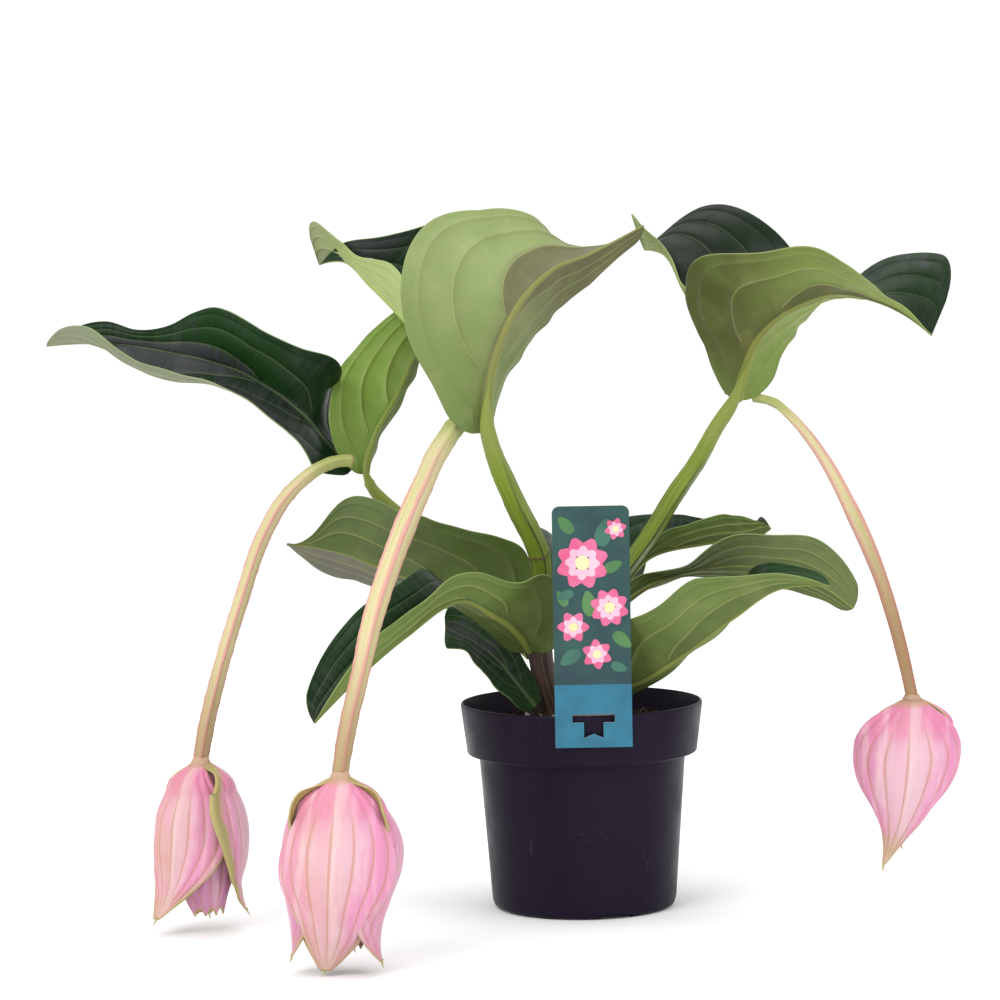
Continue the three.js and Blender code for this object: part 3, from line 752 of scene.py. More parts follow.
@dataclass(frozen=True)
class StalkSkin:
    """Flower stalk: streaked cream and green faces, pink along the wings."""

    cream: Colour = tint(0xC9BC92)
    green: Colour = tint(0xA6AC68)
    pink: Colour = tint(0xC79488)
    brown: Colour = tint(0x86603F)

    def material(self) -> Material:
        """Makes the stalk's material.

        Returns:
            The material.
        """
        sheet = Sheet("stalk_skin")
        streak = streaks(sheet, 4.0, 1.8)
        speck = sheet.noise(1100.0, 3.0)
        colour = sheet.coats(
            self.cream,
            Coat(self.green, sheet.shaken("young", streak, 0.35), 0.1, 0.8),
            Coat(self.green, streaks(sheet, 2.0, 0.7), 0.4, 0.7, 0.75),
        )
        ridge = sheet.span(sheet.shaken("ridge", streak, 0.35), 0.15, 0.85)
        colour = sheet.coats(
            sheet.mix(sheet.times("blush", ridge), colour, self.pink),
            Coat(self.brown, "old", 0.0, 1.5, 0.8),
            Coat(self.brown, speck, 0.55, 0.8, 0.7),
            Coat(self.brown, "scar", 0.2, 0.9, 0.7),
        )
        return sheet.finished(
            base_color=colour,
            roughness=sheet.span(sheet.noise(150.0), 0.3, 0.7, 0.42, 0.58),
            specular_ior_level=0.3,
            subsurface_weight=0.06,
            subsurface_scale=0.002,
            normal=sheet.bump(sheet.plus(speck, streak), 0.00014),
        )


def streaks(sheet: Sheet, pace: float, fineness: float) -> Socket:
    """Gives noise drawn out along a stem.

    Args:
        sheet: The stem's material.
        pace: How quickly it changes along the stem.
        fineness: How finely it is split round the stem.

    Returns:
        The noise's value.
    """
    return sheet.noise(5.0, 4.0, sheet.mapped(run=pace, around=fineness, facing=fineness))


@dataclass(frozen=True)
class BractSkin:
    """Silky pink bract: tan veins, salmon shoulders, greenish margins, and a deeper pink towards
    the flanks, partly its own colour and partly painted shade.
    """

    blush: Colour = tint(0xD3ABB9)
    pink: Colour = tint(0xD286AC)
    lilac: Colour = tint(0xB3769F)
    salmon: Colour = tint(0xBE927C)
    vein: Colour = tint(0xB48062)
    cream: Colour = tint(0xDCC7C4)
    flush: Colour = tint(0xC56A86)
    green: Colour = tint(0xA09D5A)
    ochre: Colour = tint(0xA98A62)
    olive: Colour = tint(0xABA06A)

    def material(self) -> Material:
        """Makes the bract's material.

        Returns:
            The material.
        """
        sheet = Sheet("bract_skin")
        clouds = sheet.noise(30.0, 4.0)
        fine = sheet.noise(900.0, 3.0)
        streak = sheet.noise(9.0, 4.0, sheet.mapped(run=0.9, across=9.0))
        crease = sheet.noise(60.0, 4.0, sheet.mapped(run=1.0, across=0.4))
        warm = sheet.times("warm", sheet.span(clouds, 0.3, 0.7, 0.7, 1.3))
        flushed = sheet.times("shoulder", sheet.span(streak, 0.35, 0.65, 0.2, 1.0))
        colour = sheet.coats(
            self.blush,
            # Deeper pink towards the flanks: partly the bract's own pink, partly painted shade.
            Coat(self.pink, sheet.shaken("flank", clouds, 0.35), 0.0, 0.8),
            Coat(self.lilac, "inner", most=0.85),
        )
        colour = sheet.coats(
            sheet.mix(warm, colour, self.salmon),
            Coat(self.pink, streak, 0.5, 0.7, 0.4),
            Coat(self.cream, streak, 0.52, 0.3, 0.5),
            Coat(self.flush, flushed, most=0.6),
            Coat(self.olive, sheet.shaken("tip", clouds, 0.3), 0.2, 1.1, 0.75),
            Coat(self.vein, "vein", 0.1, 1.0, 0.7),
            Coat(self.green, sheet.shaken("green", clouds, 0.25), 0.3, 0.8, 0.9),
            Coat(self.ochre, "crown", 0.2, 1.0, 0.8),
        )
        return sheet.finished(
            base_color=colour,
            roughness=sheet.span(fine, 0.3, 0.7, 0.45, 0.6),
            specular_ior_level=0.3,
            subsurface_weight=0.12,
            subsurface_scale=0.003,
            normal=sheet.bump(
                sheet.plus(sheet.times(crease, 5.0), sheet.plus(fine, streak)), 0.00028
            ),
        )


@dataclass(frozen=True)
class BudSkin:
    """Rosy buds with a brown eye."""

    rose: Colour = tint(0xC98A7A)
    brown: Colour = tint(0x8C5E45)

    def material(self) -> Material:
        """Makes the buds' material.

        Returns:
            The material.
        """
        sheet = Sheet("bud_skin")
        colour = sheet.coats(
            self.rose,
            Coat(self.brown, sheet.noise(260.0), 0.35, 0.7),
            Coat(self.brown, "eye", 0.5, 1.0, 0.8),
        )
        return sheet.finished(
            base_color=colour,
            roughness=sheet.span(sheet.noise(500.0), 0.3, 0.7, 0.35, 0.55),
            subsurface_weight=0.1,
            subsurface_scale=0.002,
            normal=sheet.bump(sheet.noise(700.0), 0.0001),
        )


@dataclass(frozen=True)
class PotPlastic:
    """Moulded recycled plastic, nearly black, with dust, specks and rubbed marks."""

    plastic: Colour = tint(0x17111F)
    worn: Colour = tint(0x1F1829)
    dust: Colour = tint(0x686472)

    def material(self) -> Material:
        """Makes the pot's material.

        Returns:
            The material.
        """
        sheet = Sheet("pot_plastic")
        flow = sheet.noise(9.0, 5.0, sheet.place((1.0, 1.0, 0.35)))
        haze = sheet.noise(45.0, 5.0)
        specks = sheet.span(sheet.cells(150.0), 0.0, 0.09, 1.0, 0.0)
        specks = sheet.times(specks, sheet.span(sheet.noise(24.0, 2.0), 0.52, 0.66))
        scuff = sheet.noise(30.0, 3.0, sheet.place((6.0, 6.0, 1.0)))
        colour = sheet.coats(
            self.plastic,
            Coat(self.worn, flow, 0.35, 0.7, 0.6),
            Coat(self.worn, haze, 0.5, 0.8, 0.35),
        )
        colour = sheet.mix(sheet.times(specks, 0.6), colour, self.dust)
        return sheet.finished(
            base_color=sheet.coats(colour, Coat(self.dust, scuff, 0.68, 0.8, 0.25)),
            roughness=sheet.span(haze, 0.3, 0.75, 0.3, 0.46),
            specular_ior_level=0.07,
            normal=sheet.bump(sheet.plus(sheet.noise(1200.0, 2.0), haze), 0.00009),
        )


@dataclass(frozen=True)
class Soil:
    """Peaty potting soil, dark and damp, or the pale grit in it.

    Attributes:
        name: Name of the material.
        low: Its one colour.
        high: Its other colour.
        straw: How much of it fibres cover where they lie.
        fibre: The fibres' colour.
    """

    name: str
    low: Colour
    high: Colour
    straw: float = 0.0
    fibre: Colour = tint(0x6C533E)

    def material(self) -> Material:
        """Makes the soil's or the grit's material.

        Returns:
            The material.
        """
        sheet = Sheet(self.name)
        clods = sheet.noise(140.0, 6.0)
        fibres = sheet.noise(220.0, 3.0, sheet.place((1.0, 0.15, 1.0)))
        colour = sheet.coats(
            self.low,
            Coat(self.high, clods, 0.35, 0.7),
            Coat(self.fibre, fibres, 0.66, 0.74, self.straw),
        )
        return sheet.finished(
            base_color=colour,
            roughness=0.92,
            specular_ior_level=0.2,
            normal=sheet.bump(sheet.plus(clods, sheet.noise(900.0, 4.0)), 0.0006),
        )


@dataclass(frozen=True)
class Print:
    """Glossy ink on plastic card, washed unevenly with a second colour."""

    name: str
    ink: Colour
    second: Colour

    def material(self) -> Material:
        """Makes the ink's material.

        Returns:
            The material.
        """
        sheet = Sheet(f"print_{self.name}")
        wash = Coat(self.second, sheet.noise(38.0, 2.0), 0.3, 0.7, 0.5)
        return sheet.finished(
            base_color=sheet.coats(self.ink, wash),
            roughness=sheet.span(sheet.noise(700.0), 0.3, 0.7, 0.3, 0.4),
            specular_ior_level=0.45,
            normal=sheet.bump(sheet.noise(1500.0, 2.0), 0.00003),
        )


@dataclass(frozen=True)
class LabelCard:
    """Printed card: a deep field, a teal band below it, and white edges and back.

    Attributes:
        plan: The label's sizes.
    """

    plan: LabelPlan
    deep: Colour = tint(0x12343C)
    sea: Colour = tint(0x1E4A44)
    teal: Colour = tint(0x165E76)
    light_teal: Colour = tint(0x1B6A84)
    white: Colour = tint(0xD9DAD6)

    def material(self) -> Material:
        """Makes the card's material.

        Returns:
            The material.
        """
        sheet = Sheet("label_card")
        edge, front = self.plan.band_top, self.plan.back
        place, way = sheet.place(), sheet.node("TexCoord", "Normal", {})
        field = sheet.coats(self.deep, Coat(self.sea, sheet.noise(22.0, 3.0), 0.35, 0.7))
        band = sheet.coats(self.teal, Coat(self.light_teal, sheet.noise(60.0), 0.3, 0.7))
        upper = sheet.span(sheet.part(place, "Z"), (edge - 0.2) * MM, (edge + 0.2) * MM)
        away = sheet.span(sheet.part(way, "Y"), -0.6, -0.4)
        inside = sheet.span(sheet.part(place, "Y"), (front + 0.4) * MM, (front + 0.6) * MM)
        plain = sheet.node("Math", "Value", {0: away, 1: inside}, operation="MAXIMUM")
        return sheet.finished(
            base_color=sheet.mix(plain, sheet.mix(upper, band, field), self.white),
            roughness=sheet.span(sheet.noise(500.0), 0.3, 0.7, 0.3, 0.42),
            specular_ior_level=0.45,
            normal=sheet.bump(sheet.noise(1300.0, 2.0), 0.00003),
        )


# ---- plans ----


@dataclass(frozen=True)
class PotPlan:
    """The pot's sizes, in millimetres."""

    height: float = 146
    rim_radius: float = 85.7
    band_bottom_radius: float = 81.4
    band_bottom: float = 110
    body_top_radius: float = 73
    body_bottom_radius: float = 65.3
    foot_radius: float = 61
    foot_height: float = 3
    wall: float = 1.8
    pad_radius: float = 13
    drain_holes: int = 6
    drain_hole_radius: float = 5
    drain_hole_circle: float = 40
    notches: int = 4
    notch_width: float = 24
    notch_turn: float = 20
    notch_height: float = 2.5


@dataclass(frozen=True)
class LabelPlan:
    """Where the care label stands and its print divides, in millimetres."""

    centre_x: float = 6.5
    back: float = -86.4
    thickness: float = 0.8
    band_top: float = 168


@dataclass(frozen=True)
class StemPlan:
    """A stem or a flower stalk: where it runs and how thick it is.

    Attributes:
        name: Name of its solid.
        path: Points on its middle, from its foot.
        radius: Its radius at even stations.
        scars: Where leaves or stalks have left a ring, as shares of its length.
        rosy: How much pinker and browner it is than the other stalks.
    """

    name: str
    path: tuple[Triple, ...]
    radius: tuple[float, ...]
    scars: tuple[float, ...] = ()
    rosy: float = 0.0


@dataclass(frozen=True)
class LeafPlan:
    """A leaf's course and spread.

    Attributes:
        name: Name of its solid.
        midrib: Points on the midrib, base to tip.
        up: The side that the upper face looks to, at even stations.
        wide: Half widths of the left and the right half, at even stations.
        rise: How far each half folds up, in degrees.
        dusk: How dusky the left and the right half are inside the inner vein, at even stations:
            partly olive tint and partly painted shade below, partly waxy film and painted sheen
            above.
        haze: How dusky they are outside it, with the same painted shade and sheen.
        bend: The extra curl across each half, in degrees.
        wave: The ruffle of each margin, as height, count and start.
        rib: How stout its midrib is beside the stoutest.
        tone: The colours of its underside, with painted light and shade for where it hangs.
        shade: How much painted shade darkens its upper face beyond the other leaves'.
    """

    name: str
    midrib: tuple[Triple, ...]
    up: tuple[Triple, ...]
    wide: Halves
    rise: Halves
    dusk: Halves
    haze: Halves
    bend: Halves = ((0.0,), (0.0,))
    wave: tuple[Triple, Triple] = ((0.0, 0.0, 0.0), (0.0, 0.0, 0.0))
    rib: float = 0.4
    tone: LitTone = LitTone.FRESH
    shade: float = 0.0


@dataclass(frozen=True)
class BractPlan:
    """One bract, hanging from the top of its head.

    Attributes:
        face: The way its middle looks, in degrees from the front, turning to the right.
        length: How far down it reaches.
        reach: How far its midline stands out from the head's axis, at even stations.
        half: Half widths, wrapped round the axis.
        flare: How far its left and its right margin stand off the wrap.
        lap: How far they lie over their neighbours above, and under them below.
        sway: Where its tip leans.
        green: How wide the green is on its left and its right margin, in millimetres.
        inner: 1 for an inner, lilac bract, 0 for an outer one.
        fold: How far down its margins are turned out, as a share of its length.
        warm: How far it turns from pink to salmon.
        ragged: How deep the notches of its end are, in millimetres.
        drip: The thin curled end beyond its tip.
    """

    face: float
    length: float
    reach: tuple[float, ...]
    half: tuple[float, ...]
    flare: Pair = (0.0, 0.0)
    lap: Pair = (0.0, 0.0)
    sway: Pair = (0.0, 0.0)
    green: Pair = (0.5, 0.5)
    inner: float = 0.0
    fold: float = 0.24
    warm: float = 0.1
    ragged: float = 0.0
    drip: Triple = (1.0, 0.0, -5.0)


@dataclass(frozen=True)
class BudsPlan:
    """The cluster of buds inside a head: where it starts, its length, radius and count."""

    start: float
    length: float
    radius: float
    count: int


@dataclass(frozen=True)
class HeadPlan:
    """A hanging flower head: its top, how its axis leans, its bracts and its buds."""

    name: str
    top: Triple
    foot: Pair
    bracts: tuple[BractPlan, ...]
    buds: BudsPlan


def both(*stations: float) -> Halves:
    """Gives both halves the same stations."""
    return stations, stations


STEM_PLANS = (
    StemPlan(
        name="stem_middle",
        path=(
            (-18, -12, 100), (-18, -12, 118), (-19, -12, 138), (-25, -14, 160), (-29, -18, 185),
            (-28, -24, 221), (-27, -30, 245), (-46, -47, 294), (-59, -58, 327), (-63, -67, 345),
            (-63, -77, 362), (-60, -86, 380),
        ),
        radius=(9, 8.6, 8.2, 7.2, 7, 6.8, 5.6, 3), scars=(0.3, 0.52),
    ),
    StemPlan(
        name="stem_left",
        path=(
            (-27, 8, 100), (-27, 8, 138), (-30, 9, 182), (-56, 9, 232), (-105, 8, 265),
            (-130, 6, 283), (-147, 1, 303), (-150, -3, 316), (-147, -1, 330),
        ),
        radius=(6, 5.6, 5, 4.6, 4.8, 4.8, 2.4), scars=(0.42, 0.9),
    ),
    StemPlan(
        name="stem_right",
        path=(
            (8, 10, 100), (8, 10, 140), (10, 9, 188), (23, 7, 224), (52, 3, 265), (69, 1, 292),
            (85, -1, 315), (98, -3, 338), (110, -9, 357), (116, -19, 374), (121, -27, 386),
        ),
        radius=(8.4, 7.6, 6.8, 6.4, 6.4, 5.6, 2.6), scars=(0.36,),
    ),
)

STALK_PLANS = (
    StemPlan(
        name="stalk_middle",
        path=(
            (-69, -47, 350), (-76, -48, 351), (-84, -53, 346), (-92, -66, 336), (-100, -81, 324),
            (-106, -96, 311), (-112, -109, 299), (-129, -143, 259), (-142, -177, 221),
            (-150, -205, 187), (-156, -217, 164), (-162, -231, 131.2),
        ),
        radius=(6, 6.4, 6.8, 6.8, 6.2, 5.6, 5.2),
    ),
    StemPlan(
        name="stalk_left",
        path=(
            (-159, -12, 320), (-169, -17, 320), (-179, -22, 317), (-193, -29, 308),
            (-205, -35, 296), (-220, -42, 271), (-236, -50, 227), (-245, -55, 200),
            (-253, -60, 173), (-260, -66, 146), (-265, -73, 119),
        ),
        radius=(3.8, 4.4, 4.8, 4.6, 5, 4.7), scars=(0.0,),
    ),
    StemPlan(
        name="stalk_right",
        path=(
            (125, 10, 358), (141, 4, 354), (149, -3, 347), (164, -14, 329), (173, -21, 315),
            (190, -32, 281), (207, -42, 239), (222, -53, 184), (228, -60, 152.4),
        ),
        radius=(3.2, 3.8, 5.2, 6.2, 5.8, 5.2, 5), rosy=1.0,
    ),
)

LEAF_PLANS = (
    LeafPlan(
        name="leaf_middle_front",
        midrib=(
            (-62, -55, 342), (-61, -70, 375), (-53, -82, 404), (-38, -82, 432), (-18, -68, 451),
            (10, -36, 462), (49, 0, 481),
        ),
        up=((-0.3, 0.95, 0), (-0.2, 0.95, 0.1), (-0.3, 0.9, 0.3)),
        wide=((20, 36, 46, 44, 30, 16, 6), (23, 42, 78, 80, 40, 28, 18)),
        rise=((55, 50, 50, 45, 20, 10, 0), (0, -8, 0, 30, 45, 100, 145)),
        dusk=((0.2, 0.4, 0.8, 1, 1), (0.2, 0.7, 1, 1, 0.9)),
        haze=((0.1, 0.3, 0.6, 0.9, 0.9), (0.2, 0.25, 0.15, 0.3, 0.5)), rib=1.0, tone=LitTone.BRIGHT,
    ),
    LeafPlan(
        name="leaf_middle_back",
        midrib=(
            (-70, -38, 354), (-95, -5, 386), (-121, 22, 417), (-145, 42, 441), (-166, 56, 459),
            (-182, 61, 457),
        ),
        up=((0.7, 0.1, 0.7), (0.7, 0, 0.7), (0.7, 0, 0.7), (0.5, 0, 0.86), (-0.5, 0, 1)),
        wide=((14, 30, 40, 46, 48, 43, 30, 14, 46), (10, 40, 72, 97, 87, 30, 0)),
        rise=((30, 26, 20, 18, 25, 33, 38, 50, 88), (45, 40, 35, 44, 74, 105, 130)),
        dusk=((0, 0.1, 0, 0.9), (0, 0.3, 0.2, 0.9)), haze=((0, 0, 0, 0.7), (0, 0.1, 0.1, 0.8)),
        tone=LitTone.PALE,
    ),
    LeafPlan(
        name="leaf_left_long",
        midrib=(
            (-159, 9, 313), (-170, 7, 325), (-195, -6, 355), (-236, -8, 384), (-285, 0, 398),
            (-332, 5, 405), (-373, 5, 404),
        ),
        up=((0.2, -0.5, 0.8), (0, -0.35, 0.94), (0, -0.2, 1)),
        wide=(
            (12, 28, 34, 34, 36, 42, 34, 28, 6),
            (10, 22, 32, 44, 40, 42, 49, 33, 17, 11, 15, 11, 0),
        ),
        rise=((-30, -15, 0, 5, 0, 0, 5, 40, 60), (0, 5, 70, 95, 105, 80, 75, 60, 40)),
        bend=((0, 5, 10, 40, 90, 150, 120, 60, 0), (0,)),
        dusk=((0, 0.7, 0.9, 0.5), (-0.1, 0.6, 0.8, 0.5)),
        haze=((-0.2, 0.5, 0.9, 0.6), (-0.4, -0.1, 0, -0.1)), tone=LitTone.SILVER,
    ),
    LeafPlan(
        name="leaf_left_upright",
        midrib=(
            (-150, 4.5, 309), (-144, 8, 334), (-127, 20, 364), (-114, 33, 392), (-100, 47, 414),
            (-90, 53, 426),
        ),
        up=((-0.2, 0.9, -0.2), (-0.3, 0.8, -0.2), (-0.4, 0.6, 0.2)),
        wide=((12, 20, 23, 25, 27, 18, 4), (12, 33, 44, 43, 37, 26, 10)),
        rise=((65, 72, 72, 66, 60, 50, 50), (-5, -10, 0, 15, 30, 25, 20)),
        dusk=((0.3, 0.7, 0.9), (0.2, 0.6, 0.8)), haze=((0.3, 0.7, 0.9), (0, 0.1, 0.3)), rib=0.45,
    ),
    LeafPlan(
        name="leaf_right_front",
        midrib=(
            (114, 1, 357), (119, -10, 380), (128, -22, 402), (146, -30, 419), (175, -26, 431),
            (212, -8, 425), (252, 10, 400),
        ),
        up=((-0.5, 0.85, 0), (-0.3, 0.8, 0.4), (0, 0.5, 0.8), (0.4, 0.2, 0.9)),
        wide=(
            (20, 28, 37, 40, 40, 42, 50, 68, 66), (18, 28, 42, 60, 72, 55, 55, 35, 22, 13, 7, 3, 0),
        ),
        rise=((-15, 8, 26, 32, 30, 24, 30, 56, 72), (65, 55, 14, -8, -15, 5, 10)),
        dusk=((0, 0.3, 0.5, 0.3, 0.2), (0.3, 0.9, 1, 0.9, 0.6)),
        haze=((0, 0.1, 0.1), (0.5, 0.8, 0.45, 0.15, 0)), rib=0.7, tone=LitTone.OLIVE, shade=0.3,
    ),
    LeafPlan(
        name="leaf_right_back",
        midrib=((108, 15, 362), (98, 50, 402), (81, 80, 433), (65, 105, 461), (54, 115, 463)),
        up=((0.7, 0.1, 0.7), (0.7, 0, 0.7), (0.7, 0, 0.7), (0.7, 0, 0.7), (-0.8, 0, 1)),
        wide=((14, 16, 16, 13, 9, 9, 46), (20, 34, 56, 84, 94, 88, 40)),
        rise=((30, 25, 20, 15, 15, 30, 85), (60, 60, 60, 60, 60, 40, 0)),
        dusk=((0, 0.1), (0.1, 0.3, 0.2)), haze=((0,), (0.1, 0.2, 0)), tone=LitTone.BRIGHT, shade=0.75,
    ),
    LeafPlan(
        name="leaf_low_left_upper",
        midrib=(
            (-39, 1, 199), (-77, -3, 225), (-125, -12, 238), (-168, -20, 256), (-205, -25, 263),
        ),
        up=((0.2, 0.7, 0.6), (0, 0.8, 0.6), (0, 0.8, 0.6)),
        wide=((12, 30, 46, 48, 47, 50, 53, 54, 52, 49, 39, 8, 0), (14, 20, 22, 20, 22, 20, 0)),
        rise=((20, 20, 10, 5, 0, 15, 5), (10, 10, 10, 10, 10, 0, 0)),
        dusk=((0.3, 0.2, 0.1, 0.1), (0.1, 0.2, 0.8, 1)),
        haze=((0.3, 0, 0.1, 0.1), (0.1, 0.2, 0.9, 1)), tone=LitTone.ASH,
    ),
    LeafPlan(
        name="leaf_low_left_long",
        midrib=(
            (-36, -30, 185), (-48, -52, 204), (-61, -70, 215), (-82, -92, 228), (-120, -118, 207),
            (-155, -137, 179), (-182, -150, 153),
        ),
        up=((0.1, -0.1, 1), (-0.1, -0.1, 1), (-0.6, 0, 0.8), (-0.6, 0, 0.6)),
        wide=((26, 44, 25, 30, 30, 17, 0), (22, 24, 36, 30, 34, 28, 10)),
        rise=((0, 60, 45, 40, 25, 35, 35), (-25, 0, 5, 80, 75, 75, 90)),
        wave=((2, 3, 0.1), (2.5, 3, 0.3)), dusk=((1, 0.8, 0.3, 0.1), (1, 0.8, 0.4, 0.2)),
        haze=((0.9, 0.5, 0.1, 0), (1, 0.7, 0.2, 0.1)), rib=0.45, tone=LitTone.MOSS,
    ),
    LeafPlan(
        name="leaf_low_left_small",
        midrib=((-33, -29, 146), (-43, -30, 159), (-64, -31, 184), (-95, -38, 203)),
        up=((0.3, -0.6, 0.7), (0.3, -0.6, 0.7)),
        wide=((10, 14, 17, 18, 16, 12, 18), (8, 12, 15, 18, 19, 22, 28)),
        rise=((0, 0, 0, 0, 0, 0, -10), (20, 20, 20, 20, 20, 10, -15)), dusk=both(0.4),
        haze=both(0.2), tone=LitTone.DEEP,
    ),
    LeafPlan(
        name="leaf_low_right_upper",
        midrib=((34, 15, 227), (46, 22, 242), (92, 14, 255), (126, 5, 259), (136, 2, 266)),
        up=((0, 0.1, 1), (0, 0.1, 1)),
        wide=((16, 36, 31, 23, 19, 18, 18), (6, 11, 15, 20, 25, 25, 14)),
        rise=((60, 65, 60, 60, 50, 40, 55), (45, 45, 45, 45, 45, 50, 45)),
        dusk=both(0.6, 0.6, 0.5, 0.4), haze=both(0.3, 0.1, 0, 0), rib=0.3, tone=LitTone.MOSS,
    ),
    LeafPlan(
        name="leaf_low_right_middle",
        midrib=(
            (25, -3, 209), (45, -12, 226), (77, -30, 240), (118, -42, 244), (156, -48, 235),
            (189, -48, 213),
        ),
        up=((0, 0.2, 1), (0, 0.4, 0.9), (0, 0.8, 0.6), (0.3, 0.8, 0.5)),
        wide=((12, 24, 30, 30, 24, 16, 8), (8, 10, 13, 31, 37, 26, 10)),
        rise=((20, 15, 10, 10, 15, 20, 10), (50, 40, -10, 0, -10, 20, 50)),
        dusk=((0.8, 0.7, 0.3, 0.2), (0.8, 0.7, 0.4, 0.3)), haze=both(0.6, 0.4, 0.1, 0), rib=0.3,
        tone=LitTone.GREY,
    ),
    LeafPlan(
        name="leaf_low_right_near",
        midrib=(
            (0, -18, 150), (37, -46, 163), (69, -76, 186), (103, -103, 214), (135, -125, 236),
            (166, -130, 237),
        ),
        up=((-0.2, 0.7, 0.7), (-0.2, 0.7, 0.7), (0, 0.5, 0.8)),
        wide=((20, 32, 38, 48, 44, 25, 10), (20, 36, 46, 42, 38, 15, 0)),
        rise=((5, 25, 35, 40, 65, 75, 65), (30, 30, 30, 20, 30, 25, 20)),
        dusk=((0.9, 0.6, 0.2, 0.4), (1, 0.9, 0.7, 0.7)),
        haze=((0.5, 0.2, 0, 0.2), (0.8, 0.6, 0.4, 0.4)), rib=0.35, tone=LitTone.MOSS,
    ),
    LeafPlan(
        name="leaf_low_rear",
        midrib=((9, 20, 192), (10, 60, 222), (8, 105, 240), (4, 150, 240), (0, 188, 226)),
        up=((0, -0.2, 1), (0, 0, 1)), wide=both(8, 30, 42, 46, 40, 24, 0), rise=((25,), (20,)),
        wave=((3, 2, 0), (3, 2, 0.3)), dusk=both(0.3, 0.5), haze=both(0.1), shade=0.2,
    ),
    LeafPlan(
        name="leaf_low_rear_left",
        midrib=(
            (-36, 18, 176), (-70, 50, 200), (-100, 85, 212), (-128, 118, 208), (-150, 142, 190),
        ),
        up=((0, -0.1, 1), (0, 0, 1)), wide=both(8, 26, 38, 42, 36, 22, 0), rise=both(25),
        wave=((3, 2, 0.1), (3, 2, 0.5)), dusk=both(0.3, 0.5), haze=both(0.1),
    ),
)

HEAD_PLANS = (
    HeadPlan(
        name="middle",
        top=(-162, -231, 129),
        foot=(-7, -8),
        bracts=(
            BractPlan(
                face=-5, length=125, reach=(5, 27, 37, 38, 30, 17, 6),
                half=(6, 37, 50, 46, 33, 22, 3), flare=(-2, 4), lap=(-1, -3), green=(0.8, 0.8),
                sway=(-4, 0), drip=(-3, -1, -3.4), warm=0.38,
            ),
            BractPlan(
                face=88, length=120, reach=(5, 27, 39, 40, 33, 26, 26),
                half=(6, 14, 17, 38, 34, 22, 4), flare=(-7, 2), lap=(3, 0), green=(10.0, 1.5),
                inner=0.5, sway=(6, 0),
            ),
            BractPlan(
                face=-92, length=117, reach=(5, 27, 34, 33, 31, 27, 27),
                half=(6, 14, 17, 36, 30, 18, 4), flare=(2, -7), lap=(0, 3), green=(1.0, 10.0),
                inner=0.5, sway=(0, 4), drip=(-2, 0, -5),
            ),
            BractPlan(
                face=178, length=116, reach=(5, 22, 31, 31, 28, 23, 18),
                half=(6, 30, 44, 42, 36, 28, 12), inner=1, sway=(12, 0), drip=(2, 0, -5), ragged=5,
            ),
        ),
        buds=BudsPlan(start=16, length=78, radius=15, count=13),
    ),
    HeadPlan(
        name="left",
        top=(-265, -73, 117.5),
        foot=(-2, 0),
        bracts=(
            BractPlan(
                face=-35, length=105, reach=(5, 20, 28, 29, 27, 25, 30),
                half=(6, 26, 38, 40, 30, 16, 2), flare=(0, 3), lap=(0, -2), green=(2.5, 0.5),
                sway=(-12, 0), drip=(-3, 0, -5), warm=0.6,
            ),
            BractPlan(
                face=80, length=103, reach=(5, 21, 29, 31, 29, 24, 28),
                half=(6, 24, 34, 32, 24, 12, 0), flare=(4, 0), lap=(2, 0), green=(11.0, 1.0),
                inner=0.2, fold=0.85, sway=(4, 0), drip=(3, 0, -4),
            ),
            BractPlan(
                face=20, length=106, reach=(4, 16, 24, 25, 22, 18, 14),
                half=(6, 22, 32, 34, 30, 24, 12), flare=(-2, -2), green=(0.0, 0.0), inner=1,
                sway=(2, 0), ragged=5,
            ),
            BractPlan(
                face=178, length=102, reach=(5, 20, 28, 29, 25, 18, 12),
                half=(6, 28, 40, 38, 28, 14, 0), inner=1, drip=(0, 1, -5),
            ),
        ),
        buds=BudsPlan(start=15, length=92, radius=12, count=13),
    ),
    HeadPlan(
        name="right",
        top=(228, -60, 150.5),
        foot=(-4, -2),
        bracts=(
            BractPlan(
                face=-8, length=115, reach=(9, 29, 33, 30, 21, 9, 3),
                half=(8, 36, 52, 44, 30, 13, 0), flare=(2, -1), lap=(5, 3), green=(1.2, 0.0),
                sway=(-17, 0), drip=(-1, 0, -5),
            ),
            BractPlan(
                face=120, length=101, reach=(7, 26, 30, 29, 23, 13, 4),
                half=(6, 30, 42, 38, 26, 12, 0), flare=(-3, 0), green=(0.0, 1.0), inner=0.4,
                sway=(-8, 0),
            ),
            BractPlan(
                face=-130, length=96, reach=(5, 24, 31, 27, 18, 10, 5),
                half=(6, 30, 40, 36, 26, 12, 0), flare=(0, -3), green=(1.0, 1.0), inner=0.4,
                drip=(0, 0, -5),
            ),
        ),
        buds=BudsPlan(start=16, length=62, radius=12, count=11),
    ),
)


# ---- pieces ----


def ridden(piece: Piece, slot: str, *nodes: str) -> Piece:
    """Sets a piece on the body and hides the solids that it stands for.

    Args:
        piece: The dressed piece.
        slot: Not used.
        *nodes: Names of the solids.

    Returns:
        The same piece.
    """
    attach(piece, BODY)
    if nodes:
        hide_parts(*nodes)
    solids = ", ".join(nodes) or "none"
    LOG.info("%s: %d faces, for %s", piece.name, len(piece.data.polygons), solids)
    return piece


class Side(IntEnum):
    """The halves of a leaf."""

    LEFT = 0
    RIGHT = 1

    @property
    def sign(self) -> int:
        """-1 for the left half and 1 for the right."""
        return 2 * self - 1


@dataclass(frozen=True)
class Rib:
    """A pair of side veins.

    Attributes:
        start: Where it leaves, as a share of the leaf's length.
        share: How far out it runs, as a share of the half width.
        strength: How far it stands out from the blade.
    """

    start: float
    share: float
    strength: float


